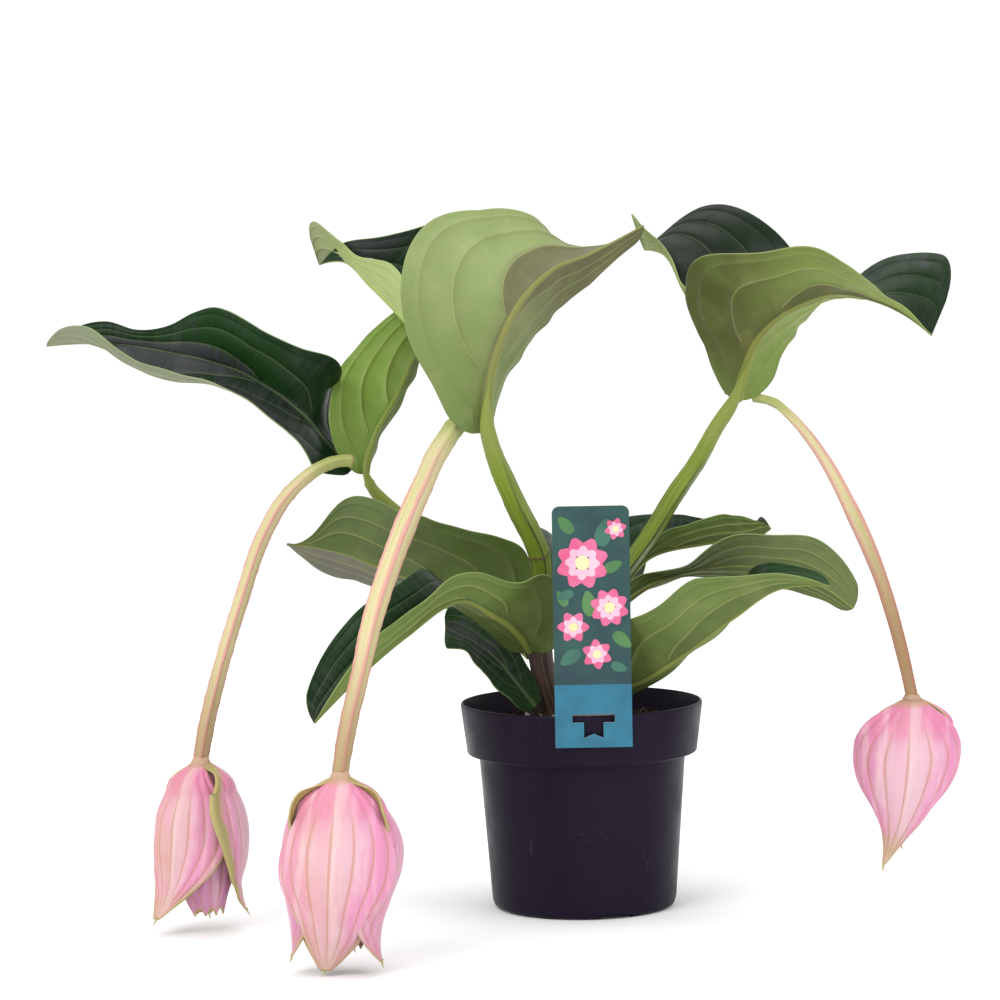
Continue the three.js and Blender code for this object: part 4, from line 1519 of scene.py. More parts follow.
@dataclass(frozen=True)
class LeafForm:
    """What all the leaves share, in millimetres where nothing else is said.

    Attributes:
        ribs: The side veins of a half, inner first.
        crowd: How much closer the rows of points stand at both ends.
        base_round: How much of the length the rounding of the base takes.
        thick: Half the blade's thickness.
        keel: How far a usual midrib stands out below at the base, beyond tip_keel.
        quilt: How far the blade bulges between two veins that are quilt_room apart.
        sweep: How gently the side veins leave the midrib, as a share of the length.
        rounds: Rounds of smoothing on the inside of bends.
    """

    ribs: tuple[Rib, ...] = (Rib(0.36, 0.36, 1.0), Rib(0.18, 0.64, 0.9), Rib(0.03, 0.88, 0.45))
    rows: int = 140
    crowd: float = 0.035
    base_round: float = 0.09
    tip_round: float = 0.05
    neck: float = 5.0
    margin: float = 0.7
    thick: float = 0.45
    keel: float = 2.2
    tip_keel: float = 0.3
    rib_height: float = 0.9
    full_rib: float = 0.6
    groove: float = 0.35
    quilt: float = 1.1
    quilt_room: float = 22.0
    pucker: float = 0.45
    ripple: float = 0.75
    sweep: float = 0.1
    rounds: int = 9


@dataclass
class Leaf:
    """A ribbed leaf: a glossy upper face and a pale underside with raised veins.

    Attributes:
        plan: Its course and spread.
        seed: Start of its own irregularities.
        tops: The upper face's material.
        unders: The underside's material.
        form: What it shares with the other leaves.
    """

    plan: LeafPlan
    seed: int
    tops: Material
    unders: Material
    form: LeafForm = LeafForm()

    def end_round(self, s: Array) -> Array:
        """Rounds the leaf's base and tip: 0 at the very ends, 1 along the blade."""
        base = np.minimum(1, s / self.form.base_round)
        tip = np.minimum(1, (1 - s) / self.form.tip_round)
        return np.sqrt(base * (2 - base)) * np.sqrt(tip * (2 - tip))

    def half_width(self, side: Side, s: Array) -> Array:
        """Gives the distance from midrib to margin over the blade, in millimetres.

        Args:
            side: Which half.
            s: Where along the blade, 0 to 1.

        Returns:
            The distances, one for each place.
        """
        full = np.maximum(along(self.plan.wide[side], s), 0)
        ends = self.end_round(s)
        neck = np.minimum(self.form.neck, full + self.form.margin) * (1 - ends) * (1 - s)
        return neck + full * ends + self.form.margin

    def surface(self, s: Array, side: Side, share: Array) -> Array:
        """Gives points on the middle surface of one half.

        Args:
            s: Where along the leaf, one for each row.
            side: The half.
            share: How far out to the margin, rows by columns.

        Returns:
            The points, rows by columns by 3.
        """
        plan = self.plan
        run = tangents(plan.midrib, s)
        hint = along(plan.up, s)
        up = unit(hint - (hint * run).sum(axis=1)[:, None] * run)
        out = np.cross(run, up) * side.sign
        rise, bend = (
            np.radians(along(table[side], s))[:, None] for table in (plan.rise, plan.bend)
        )
        turn = rise + bend * (share - 1) / 2
        chord = self.half_width(side, s)[:, None] * share * np.sinc(bend * share / 2 / math.pi)
        height, count, start = plan.wave[side]
        swing = np.sin(FULL * (count * s + start)) * self.end_round(s)
        ruffle = height * share**2 * swing[:, None]
        edge = rise + bend * (share - 0.5)
        outward = chord * np.cos(turn) - ruffle * np.sin(edge)
        upward = chord * np.sin(turn) + ruffle * np.cos(edge)
        middle = on_path(plan.midrib, s)
        return (
            middle[:, None] + outward[..., None] * out[:, None] + upward[..., None] * up[:, None]
        )

    def unfolded(self, points: Array) -> Array:
        """Smooths a half where its rows would cross on the inside of a bend.

        Args:
            points: The half's points, the midrib in the first column.

        Returns:
            The points, smoothed only where they are crowded.
        """
        for _ in range(self.form.rounds):
            step = np.gradient(points, axis=0)
            stride = step[:, :1]
            pace = (step * stride).sum(axis=-1) / (stride * stride).sum(axis=-1)
            tight = np.clip(blurred(smooth_step(0.7, 0.15, pace), 6.0) * 2, 0, 1)
            points = points + (blurred(points, 9.0) - points) * tight[..., None]
        return points

    def midrib_width(self, s: Array, width: Array) -> Array:
        """Gives half the midrib's width, in millimetres."""
        return np.minimum(0.6 + 5.4 * self.plan.rib * (1 - s) ** 2.0, 0.3 * width)

    def rib_width(self, s: Array, width: Array) -> Array:
        """Gives half a side vein's width, in millimetres."""
        return np.minimum(0.55 + 0.6 * (1 - s), 0.04 * width)

    def layout(self, s: Array, width: Array) -> tuple[Array, Array]:
        """Spaces the points of a half so that they stand close on its veins.

        Args:
            s: Where along the leaf, one for each row.
            width: The half width in each row.

        Returns:
            Distances from the midrib, rows by columns, the midrib itself first; and those of
            the side veins, one column for each.
        """
        thick, slim = self.midrib_width(s, width), self.rib_width(s, width)
        places = [share * thick for share in (0, 0.25, 0.5, 0.75, 1)]
        lines = []
        inner = thick
        for rib in self.form.ribs:
            spread = 1 - np.exp(-np.maximum(0, s - rib.start) / self.form.sweep)
            line = np.maximum(rib.share * width * spread, inner + 1.2 * slim)
            places += [inner + (line - slim - inner) * share for share in (0.25, 0.5, 0.75)]
            places += [line + slim * step for step in (-1, -0.5, 0, 0.5, 1)]
            lines.append(line)
            inner = line + slim
        places += [inner + (width - inner) * share for share in (0.3, 0.6, 0.85)] + [width]
        return np.stack(places, axis=1), np.stack(lines, axis=1)

    def build(self) -> Piece:
        """Makes the leaf.

        Returns:
            The leaf.
        """
        form = self.form
        s = np.linspace(0, 1, form.rows)
        s = s - form.crowd * np.sin(FULL * s)
        rng = np.random.default_rng(self.seed)
        halves, reliefs, numbers = zip(*(self.half(side, s, rng) for side in Side))
        middle = np.concatenate(halves, axis=1)
        bulge, ridge, dip = np.moveaxis(np.concatenate(reliefs, axis=1), -1, 0)
        over = self.follow(facing(middle))
        top = middle + over * (form.thick - dip + bulge)[..., None]
        bottom = middle - over * (form.thick + ridge - bulge)[..., None]
        data = {key: np.concatenate([part[key] for part in numbers], axis=1) for key in numbers[0]}
        skin = Skin(self.plan.name + "_blade")
        skin.add_blade(top, bottom, 1, **data)
        return ridden(skin.piece(self.tops, self.unders), "leaf_green", self.plan.name)

    def half(
        self, side: Side, s: Array, rng: np.random.Generator
    ) -> tuple[Array, Array, dict[str, Array]]:
        """Works out one half, its columns running from left to right.

        Args:
            side: The half.
            s: Where along the leaf.
            rng: Source of the irregularities.

        Returns:
            Points of its middle surface, its relief, and its named numbers.
        """
        width = self.half_width(side, s)
        place, lines = self.layout(s, width)
        points = self.unfolded(self.surface(s, side, place / width[:, None]))
        relief, numbers = self.relief(s, side, place, lines, rng)
        order = slice(None, 0, -1) if side is Side.LEFT else slice(None)
        shown = {
            key: np.broadcast_to(value, place.shape)[:, order] for key, value in numbers.items()
        }
        return points[:, order], relief[:, order], shown

    def follow(self, normal: Array) -> Array:
        """Keeps normals on one side where the outer two thirds fold back on themselves.

        Args:
            normal: Normals of the blade, rows by columns by 3.

        Returns:
            The same normals, turned where needed.
        """
        first = self.form.rows // 3
        turned = (normal[first + 1 :] * normal[first:-1]).sum(axis=-1, keepdims=True) < 0
        normal[first + 1 :] *= np.cumprod(np.where(turned, -1.0, 1.0), axis=0)
        return unit(blurred(normal, 2.0))

    def relief(
        self, s: Array, side: Side, place: Array, lines: Array, rng: np.random.Generator
    ) -> tuple[Array, dict[str, Array | float]]:
        """Works out the quilting, the veins and the shader's numbers of one half.

        Args:
            s: Where along the leaf.
            side: The half.
            place: Distances from the midrib, rows by columns.
            lines: Distances of the side veins from the midrib, one column for each.
            rng: Source of the irregularities.

        Returns:
            Bulge, ridge and dip in the last axis, and the named numbers.
        """
        form, plan = self.form, self.plan
        width = place[:, -1:]
        thick = self.midrib_width(s, place[:, -1])[:, None]
        slim = self.rib_width(s, place[:, -1])[:, None]
        ends = self.end_round(s)[:, None]
        middle = rounded(place / thick)
        keel = form.keel * (1 - s)[:, None] ** 1.5 * (0.6 + plan.rib) + form.tip_keel
        ridge = keel * middle
        dip = form.groove * middle * ends
        vein = 0.5 * middle
        grown = np.minimum(1, slim / form.full_rib)
        for rib, line in zip(form.ribs, lines.T):
            here = smooth_step(0, 0.04, s - rib.start)[:, None] * rib.strength
            off = (place - line[:, None]) / slim
            hump = np.clip(1 - off**2, 0, 1) * here
            ridge = np.maximum(ridge, form.rib_height * hump * grown)
            dip = np.maximum(dip, form.groove * hump * ends * grown)
            vein = np.maximum(vein, bell(off, 1.1) * here)
        bulge = self.quilting(place, np.concatenate([thick, lines, width], axis=1))
        start = rng.uniform(0, PHASE, 2)
        pucker = form.pucker * np.sin(rng.uniform(5, 8) * PHASE * s + start[0])[:, None]
        pucker = pucker * np.sin(place / 9 + start[1]) * np.minimum(1, width / 25)
        ripple = form.ripple * np.sin(PHASE * (rng.uniform(3, 5) * s) + start[0])[:, None]
        bulge = (bulge + pucker * (1 - middle) + ripple * (place / width) ** 4) * ends
        inner = smooth_step(1.0, -1.0, (place - lines[:, :1]) / (0.8 + 0.05 * width))
        dusk, haze = (along(table[side], s)[:, None] for table in (plan.dusk, plan.haze))
        numbers = {
            "vein": vein,
            "midrib": middle,
            "margin": np.exp(-(width - place) / 0.9),
            # dusk: partly the underside's olive tint and partly painted shade; painted sheen on the
            # upper face
            "dusk": dusk * inner + haze * (1 - inner),
            "base": smooth_step(0.55, 0.1, s)[:, None],
            # shade: painted shade on the upper face
            "shade": plan.shade,
            "run": run_length(on_path(plan.midrib, s))[:, None] * MM,
            "across": side.sign * place * MM,
        }
        return np.stack([bulge, ridge, dip], axis=-1), numbers

    def quilting(self, place: Array, borders: Array) -> Array:
        """Raises the blade between its veins.

        Args:
            place: Distances from the midrib, rows by columns.
            borders: Distances of the veins and the margin, one column for each.

        Returns:
            How far it bulges, rows by columns.
        """
        bulge = np.zeros_like(place)
        for low, high in zip(borders.T[:-1, :, None], borders.T[1:, :, None]):
            room = np.maximum(high - low, 1e-3)
            u = np.clip((place - low) / room, 0, 1)
            lift = self.form.quilt * np.minimum(1, room / self.form.quilt_room) ** 1.5
            inside = (place >= low) & (place <= high)
            bulge = np.where(inside, lift * np.sin(math.pi * u) ** 1.3, bulge)
        return bulge


@dataclass
class Stem:
    """A winged stem or flower stalk, swept along its path.

    Attributes:
        plan: Where it runs and how thick it is.
        material: Its skin.
        slot: A material slot's name.
        bumps: How strongly its wings are toothed, in millimetres.
        leafy: 1 where its end runs out into a leaf's midrib, 0 where it doesn't.
        seed: Start of its irregularities.
        wing_turn: Where its first wing stands, in degrees. The others stand at right angles.
        bark_from: The height where its bark ends, in millimetres.
        bark_full: The height below which it is all bark.
    """

    plan: StemPlan
    material: Material
    slot: str
    bumps: float
    leafy: float
    seed: int
    steps: int = 150
    sides: int = 64
    wing_turn: float = 22.5
    wing_reach: float = 9.0
    wing_height: float = 0.15
    scar_height: float = 0.7
    bark_from: float = 230.0
    bark_full: float = 175.0

    @staticmethod
    def frames(run: Array) -> tuple[Array, Array]:
        """Carries two directions across the stem along it, without a twist.

        Args:
            run: Places along the stem.

        Returns:
            The two directions at each place.
        """
        across = np.array([0.0, 1.0, 0.0])
        frames = []
        for direction in run:
            across = across - across.dot(direction) * direction
            across = across / np.linalg.norm(across)
            frames.append((across, np.cross(direction, across)))
        ahead, beside = (np.array(rows) for rows in zip(*frames))
        return ahead, beside

    def build(self) -> Piece:
        """Makes the stem.

        Returns:
            The stem.
        """
        plan = self.plan
        rng = np.random.default_rng(self.seed)
        t = np.linspace(0, 1, self.steps + 1)
        middle = on_path(plan.path, t)
        ahead, beside = self.frames(tangents(plan.path, t))
        reach = along(plan.radius, t)
        turn = turns(self.sides)
        off = (np.degrees(turn) - self.wing_turn + 45) % 90 - 45
        wing = bell(off, self.wing_reach)
        section = 0.92 + 0.05 * np.cos(np.radians(4 * off)) + self.wing_height * wing
        leafy = (smooth_step(0.7, 0.86, t) * self.leafy)[:, None]
        section = section + (0.95 - section) * leafy
        length = run_length(middle)
        start = rng.uniform(0, PHASE, 5)
        swell = 1 + 0.02 * np.sin(length / 13 + start[0]) + 0.012 * np.sin(length / 5.3 + start[1])
        scar = sum(
            (bell((t - place) * length[-1], 1.6) for place in plan.scars), np.zeros_like(t)
        )
        teeth = sum(
            np.maximum(0, np.sin(length[:, None] / pace + start[2] + 2.1 * turn * index)) ** 3
            for index, pace in ((1, 1.9), (2, 3.1))
        )
        taper = 1 - 0.9 * self.leafy * smooth_step(0.82, 1.0, t) ** 2
        radius = (reach * taper * swell)[:, None] * section + self.scar_height * scar[:, None]
        radius = radius + self.bumps * teeth * wing * (reach[:, None] > 3)
        points = middle[:, None] + radius[..., None] * (
            np.cos(turn)[:, None] * ahead[:, None] + np.sin(turn)[:, None] * beside[:, None]
        )
        columns = {
            "run": length * MM,
            "scar": scar,
            "bark": smooth_step(self.bark_from, self.bark_full, middle[:, 2]),
            "young": smooth_step(0.22, 0.02, t),
            "blush": smooth_step(0.06, 0.35, t) * (1 + plan.rosy),
            "old": smooth_step(0.55 - 0.35 * plan.rosy, 1.0, t) * (1 + 0.5 * plan.rosy),
        }
        skin = Skin(plan.name + "_sweep")
        skin.add_grid(
            points, around=np.sin(turn), facing=np.cos(turn), wing=wing * (1 - leafy),
            ridge=bell(off, 17.0), leafy=leafy,
            **{key: value[:, None] for key, value in columns.items()},
        )
        skin.add_cap(points[0], middle[0], flip=True, bark=1.0)
        skin.add_cap(points[-1], middle[-1])
        return ridden(skin.piece(self.material), self.slot, plan.name)


def sided(v: Array, pair: Pair) -> Array:
    """Gives the first number left of the middle, and the second one from it rightward."""
    return np.where(v < 0, *pair)


@dataclass
class FlowerHead:
    """A hanging head: broad bracts round a cluster of buds.

    Attributes:
        plan: Its form.
        bract_skin: The bracts' material.
        bud_skin: The buds' material.
        seed: Start of its irregularities.
        margin: What each half of a bract has beyond its plan's width, in millimetres.
        widest_turn: How far a half may wrap round the axis, in radians.
        pleat: How far it swells between two veins.
        dome: How far its shoulder swells.
        veins: Where the veins of a half run, as shares of its width.
        neck: Radius and height of the collar round the stalk, from below.
        beads: How many buds there are for each that the plan counts.
    """

    plan: HeadPlan
    bract_skin: Material
    bud_skin: Material
    seed: int
    margin: float = 0.7
    widest_turn: float = 2.4
    thickness: float = 0.8
    pleat: float = 1.6
    dome: float = 3.0
    veins: tuple[float, ...] = (0.0, 0.3, 0.57, 0.81)
    vein_reach: float = 0.022
    rows: int = 80
    neck: tuple[Pair, ...] = (
        (8.6, -4.5), (7.7, -2.4), (7.0, -0.6), (6.3, 1.2), (5.2, 3.0), (3.2, 4.2), (0.1, 4.6),
    )
    beads: int = 4

    def half(self, bract: BractPlan, s: Array) -> Array:
        """Gives half a bract's width, in millimetres, in a column."""
        return np.maximum(along(bract.half, s), 0)[:, None] + self.margin

    def surface(self, bract: BractPlan, s: Array, v: Array) -> Array:
        """Gives points on the middle surface of a bract.

        Args:
            bract: The bract.
            s: How far down, one for each row.
            v: How far across, -1 to 1, one for each column.

        Returns:
            The points, rows by columns by 3.
        """
        reach = along(bract.reach, s)[:, None]
        reach = reach + self.dome * np.sin(math.pi * np.clip(s / 0.2, 0, 1))[:, None]
        half = self.half(bract, s)
        turn = math.radians(bract.face) + v * half / np.maximum(reach, half / self.widest_turn)
        stand = sided(v, bract.flare) * np.sin(math.pi * s)[:, None]
        stand = stand + sided(v, bract.lap) * np.sin(FULL * s)[:, None]
        out = reach + stand * v * v
        top, foot, sway = self.plan.top, self.plan.foot, bract.sway
        down = s[:, None]
        x = top[0] + foot[0] * down + sway[0] * down**3 + out * np.sin(turn)
        y = top[1] + foot[1] * down + sway[1] * down**3 - out * np.cos(turn)
        notch = np.abs(np.sin(1.7 * math.pi * v + bract.face)) * smooth_step(0.7, 1.0, down)
        z = top[2] - bract.length * down + bract.ragged * notch
        return np.stack([x, y, z], axis=-1)

    def across(self) -> Array:
        """Spaces the columns of a bract so that they stand close on its veins.

        Returns:
            The columns' places, -1 to 1.
        """
        one_side = [0.0, 0.025]
        for low, high in zip(self.veins[:-1], self.veins[1:]):
            one_side += [low + (high - low) * share for share in (0.2, 0.4, 0.6, 0.8)]
            one_side += [high - 0.02, high, high + 0.02]
        half = np.array([*one_side, 0.88, 0.94, 0.98, 1.0])
        return np.concatenate([-half[:0:-1], half])

    def swelling(self, bract: BractPlan, s: Array, v: Array, rng: np.random.Generator) -> Array:
        """Works out how far a bract swells: its pleats, its ruffles and its folded margins.

        Args:
            bract: The bract.
            s: How far down, one for each row, in a column.
            v: How far across, one for each column.
            rng: Source of its irregularities.

        Returns:
            The swelling, rows by columns.
        """
        size = np.abs(v)
        room = np.minimum(np.searchsorted(self.veins, size, side="right") - 1, 3)
        borders = np.array([*self.veins, 1.0])
        low, high = borders[room], borders[room + 1]
        swell = np.sin(math.pi * np.clip((size - low) / (high - low), 0, 1))
        start = rng.uniform(0, PHASE, 3)
        ruffle = 0.8 * np.sin(PHASE * 2.5 * s + start[0]) * size**3
        ruffle = ruffle + 0.4 * np.sin(PHASE * 1.3 * s + start[1]) * np.sin(3 * v + start[2])
        folded = smooth_step(0.02, 0.12, s) * smooth_step(bract.fold + 0.08, bract.fold - 0.04, s)
        turned = sided(v, bract.green) * smooth_step(0.7, 1.0, size) * folded
        return self.body(s) * (self.pleat * swell + ruffle) + 0.6 * turned

    @staticmethod
    def body(s: Array) -> Array:
        """Gives how full a bract is: 0 at both its ends, 1 between them."""
        return smooth_step(0, 0.15, s) * smooth_step(1.0, 0.8, s)

    def add_bract(self, skin: Skin, bract: BractPlan, rng: np.random.Generator) -> None:
        """Adds one bract to the skin.

        Args:
            skin: The mesh that it joins.
            bract: Its form.
            rng: Source of its irregularities.
        """
        down = np.linspace(0, 1, self.rows)
        down = down - 0.02 * np.sin(FULL * down)
        s = down[:, None]
        v = self.across()
        middle = self.surface(bract, down, v)
        size = np.abs(v)
        bulge = self.swelling(bract, s, v, rng)
        normal = facing(middle)
        thick = self.thickness / 2
        vein = np.max([bell(size - place, self.vein_reach) for place in self.veins], axis=0)
        over = middle - normal * (bulge - thick)[..., None]
        under = middle - normal * (bulge + thick + 0.25 * vein * self.body(s))[..., None]
        width = self.half(bract, down)
        edge = np.minimum((1 - size) * width, 0.5 * (1 - s) * bract.length)
        shown = smooth_step(bract.fold + 0.12, bract.fold - 0.04, s)
        aged = 0.8 * smooth_step(0.6, 1.0, s) + 0.7 * size**4 * smooth_step(0.25, 0.7, s)
        skin.add_blade(
            over, under, 0,
            vein=vein * smooth_step(0.02, 0.3, s),
            green=bell(edge, 0.9 + sided(v, bract.green) * shown),
            inner=bract.inner,
            warm=bract.warm * (1 - 0.85 * smooth_step(-0.1, 0.6, v)),
            tip=(1 - bract.inner) * np.clip(aged, 0, 1),
            run=s * bract.length * MM,
            across=v * width * MM,
            # flank: where the painted shade of the turned-away flanks deepens the pink
            flank=smooth_step(0.12, 0.75, size),
            shoulder=smooth_step(0.34, 0.1, s),
            crown=smooth_step(0.07, 0.0, s),
        )
        self.add_drip(skin, middle[-1].mean(axis=0), bract.drip)

    @staticmethod
    def add_drip(skin: Skin, tip: Array, lean: Triple, rows: int = 12, sides: int = 10) -> None:
        """Adds the thin curled end of a bract.

        Args:
            skin: The mesh that it joins.
            tip: The bract's tip.
            lean: Where the end points, and how far.
            rows: Rows of points along it.
            sides: Faces round it.
        """
        t = np.linspace(0, 1, rows)
        lift = 1.5  # it starts inside the bract
        path = np.stack([lean[0] * t**2, lean[1] * t**2, lift + (lean[2] - lift) * t], axis=1)
        middle = tip + path
        radius = 0.95 * (1 - t) ** 0.7 + 0.06
        ring = lathe([(1, 0)], sides)
        points = middle[:, None] + radius[:, None, None] * ring
        skin.add_grid(points, flip=True, green=1.0)
        for end, flip in ((0, False), (-1, True)):
            skin.add_cap(points[end], middle[end], flip=flip, green=1.0)

    def add_crown(self, skin: Skin) -> None:
        """Adds the knob that the bracts hang from, a ring of short lobes round the stalk.

        Args:
            skin: The mesh that takes it.
        """
        top = np.array(self.plan.top, float)
        points, faces = ball(40, 20)
        turn = np.arctan2(points[:, 1], points[:, 0])
        lobes = 1 + 0.07 * np.cos(4 * turn) * (1 - points[:, 2] ** 2)
        shape = points * np.stack([9 * lobes, 9 * lobes, np.full(len(points), 6.3)], axis=1)
        skin.add(shape + top - 6 * UP, faces, crown=0.9, shoulder=1.0)
        skin.add_grid(top + lathe(self.neck, 40), flip=True, crown=1.0)

    def build(self) -> None:
        """Makes the bracts and the buds."""
        rng, name = np.random.default_rng(self.seed), self.plan.name
        skin = Skin(f"bracts_{name}_petals")
        for bract in self.plan.bracts:
            self.add_bract(skin, bract, rng)
        self.add_crown(skin)
        ridden(skin.piece(self.bract_skin), "bract_pink", f"bracts_{name}")
        ridden(self.buds(rng), "bud_pink", f"buds_{name}")

    def buds(self, rng: np.random.Generator) -> Piece:
        """Makes the spike of buds.

        Args:
            rng: Source of its irregularities.

        Returns:
            The piece.
        """
        plan = self.plan.buds
        wide, long = plan.radius, plan.length
        skin = Skin(f"buds_{self.plan.name}_cluster")
        top = np.array(self.plan.top, float) + [*(0.5 * np.array(self.plan.foot)), -plan.start]
        spike = (
            (0, 0), (2.5, 0), (2.5, -6), (wide * 0.7, -20), (wide * 0.72, -long * 0.5),
            (wide * 0.3, 3 - long), (0, 3 - long),
        )
        skin.add_grid(top + lathe(spike, 24), flip=True)
        bead, faces = ball(12, 8)
        eye = smooth_step(-0.6, -0.95, bead[:, 2])
        count = plan.count * self.beads
        for i in range(count):
            t = (i + 0.5) / count
            around = i * math.pi * (3 - math.sqrt(5))  # the golden angle
            out = wide * 0.84 * math.sqrt(math.sin(math.pi * (0.16 + 0.78 * t)))
            down = 14 + (long - 17) * t
            size = rng.uniform(2.6, 3.6)
            place = [out * math.cos(around), out * math.sin(around), -down]
            stretch = np.array([1, 1, rng.uniform(1.2, 1.5)])
            skin.add(bead * size * stretch + top + place, faces, eye=eye)
        return skin.piece(self.bud_skin)


@dataclass
class NurseryPot:
    """The moulded pot: banded rim, tapering body, slotted foot and a floor with drain holes.

    Attributes:
        plan: Its sizes.
        material: Its plastic.
        beyond: How far the cutters reach out of the plastic, in millimetres.
        notch_depth: How far they reach to either side of the foot's outer radius.
    """

    plan: PotPlan
    material: Material
    segments: int = 240
    hole_sides: int = 32
    beyond: float = 1.0
    notch_depth: float = 8.0

    def profile(self) -> Array:
        """Gives the turned outline, its corners rounded, from the floor's middle outward.

        Returns:
            Radius and height of each point.
        """
        p = self.plan
        floor = p.foot_height + p.wall
        return softened((
            (0, 0, 0), (p.pad_radius, 0, 0.6), (p.pad_radius + 2, p.foot_height, 0.6),
            (p.foot_radius - 5, p.foot_height, 0.5), (p.foot_radius - 3.5, 0, 0.3),
            (p.foot_radius, 0, 0.4), (p.foot_radius + 3, 2, 1.2), (p.body_bottom_radius, 6, 2.5),
            (p.body_top_radius, p.band_bottom - 2, 1.0),
            (p.body_top_radius + 1.2, p.band_bottom - 0.4, 0.6),
            (p.band_bottom_radius - 1, p.band_bottom, 0.5),
            (p.band_bottom_radius, p.band_bottom + 0.8, 0.5),
            (p.rim_radius, p.height - 1.4, 1.0), (p.rim_radius - 0.6, p.height, 0.5),
            (p.rim_radius - p.wall, p.height, 0.4),
            (p.band_bottom_radius - p.wall, p.band_bottom + p.wall, 1.0),
            (p.body_top_radius - p.wall, p.band_bottom, 1.0),
            (p.body_bottom_radius - p.wall, floor + 2, 1.0),
            (p.body_bottom_radius - p.wall - 3, floor, 1.0), (0, floor, 0),
        ))

    def build(self) -> Piece:
        """Makes the pot.

        Returns:
            The pot.
        """
        outline = self.profile()
        rings = lathe(outline[1:-1], self.segments)
        hub = len(rings) * self.segments
        ends = [outline[0, 1] * UP, outline[-1, 1] * UP]
        skin = Skin("pot_shell")
        skin.add(
            np.concatenate([rings.reshape(-1, 3), ends]),
            grid_faces(*rings.shape[:2]),
            fan(self.segments, hub, flip=True),
            fan(self.segments, hub + 1, hub - self.segments),
        )
        pot = skin.piece(self.material)
        cut(pot, self.cutter())
        return ridden(pot, "pot_plastic", "pot")

    def cutter(self) -> Piece:
        """Makes what is cut out of the pot: drain holes, and the notches of its foot.

        Returns:
            The cutting piece.
        """
        p = self.plan
        skin = Skin("pot_cutter")
        for way in turns(p.drain_holes):
            middle = [p.drain_hole_circle * math.cos(way), p.drain_hole_circle * math.sin(way), 0]
            low = lathe([(p.drain_hole_radius, -self.beyond)], self.hole_sides)[0] + middle
            self.add_prism(skin, low, p.foot_height + p.wall + 2 * self.beyond)
        for i in range(p.notches):
            way = math.radians(p.notch_turn - 90 + 360 * i / p.notches)
            out = np.array([math.cos(way), math.sin(way), 0])
            side = np.array([-math.sin(way), math.cos(way), 0])
            low = [
                (p.foot_radius + a * self.notch_depth) * out + b * p.notch_width / 2 * side
                for a, b in ((-1, -1), (1, -1), (1, 1), (-1, 1))
            ]
            self.add_prism(skin, np.array(low) - self.beyond * UP, p.notch_height + self.beyond)
        return skin.piece()

    @staticmethod
    def add_prism(skin: Skin, low: Array, height: float) -> None:
        """Adds an upright closed prism.

        Args:
            skin: The mesh that it joins.
            low: The corners of its foot, anticlockwise from above.
            height: How tall it is.
        """
        count = len(low)
        high = low + height * UP
        skin.add(
            np.concatenate([low, high, [low.mean(axis=0), high.mean(axis=0)]]),
            halved(grid_faces(2, count)),
            fan(count, 2 * count, flip=True),
            fan(count, 2 * count + 1, count),
        )


def softened(corners: tuple[Triple, ...], steps: int = 5) -> Array:
    """Rounds the corners of an open outline.

    Args:
        corners: Its corners, each with the room that its rounding takes on either side.
        steps: Points on each rounding.

    Returns:
        The outline's points.
    """
    points = []
    for i, (x, y, room) in enumerate(corners):
        here = np.array([x, y], float)
        if room == 0:
            points.append(here)
            continue
        before, after = (np.array(corners[i + k][:2], float) - here for k in (-1, 1))
        start = here + before * min(room / np.linalg.norm(before), 0.45)
        end = here + after * min(room / np.linalg.norm(after), 0.45)
        for t in np.linspace(0, 1, steps):
            points.append((1 - t) ** 2 * start + 2 * t * (1 - t) * here + t * t * end)
    return np.array(points)


def cut(thing: Piece, cutter: Piece, sharp: float = 28.0) -> None:
    """Cuts one closed mesh out of another and removes the cutter.

    Args:
        thing: What is cut.
        cutter: What is cut away.
        sharp: From how many degrees on the edges are shaded sharp.
    """
    modifier = thing.modifiers.new("cut", "BOOLEAN")
    modifier.operation = "DIFFERENCE"
    modifier.solver = "EXACT"
    modifier.object = cutter
    graph = bpy.context.evaluated_depsgraph_get()
    mesh = bpy.data.meshes.new_from_object(thing.evaluated_get(graph))
    thing.modifiers.clear()
    spares = [thing.data, cutter.data]
    thing.data = mesh
    mesh.name = thing.name
    bpy.data.objects.remove(cutter)
    for spare in spares:
        bpy.data.meshes.remove(spare)
    mesh.set_sharp_from_angle(angle=math.radians(sharp))


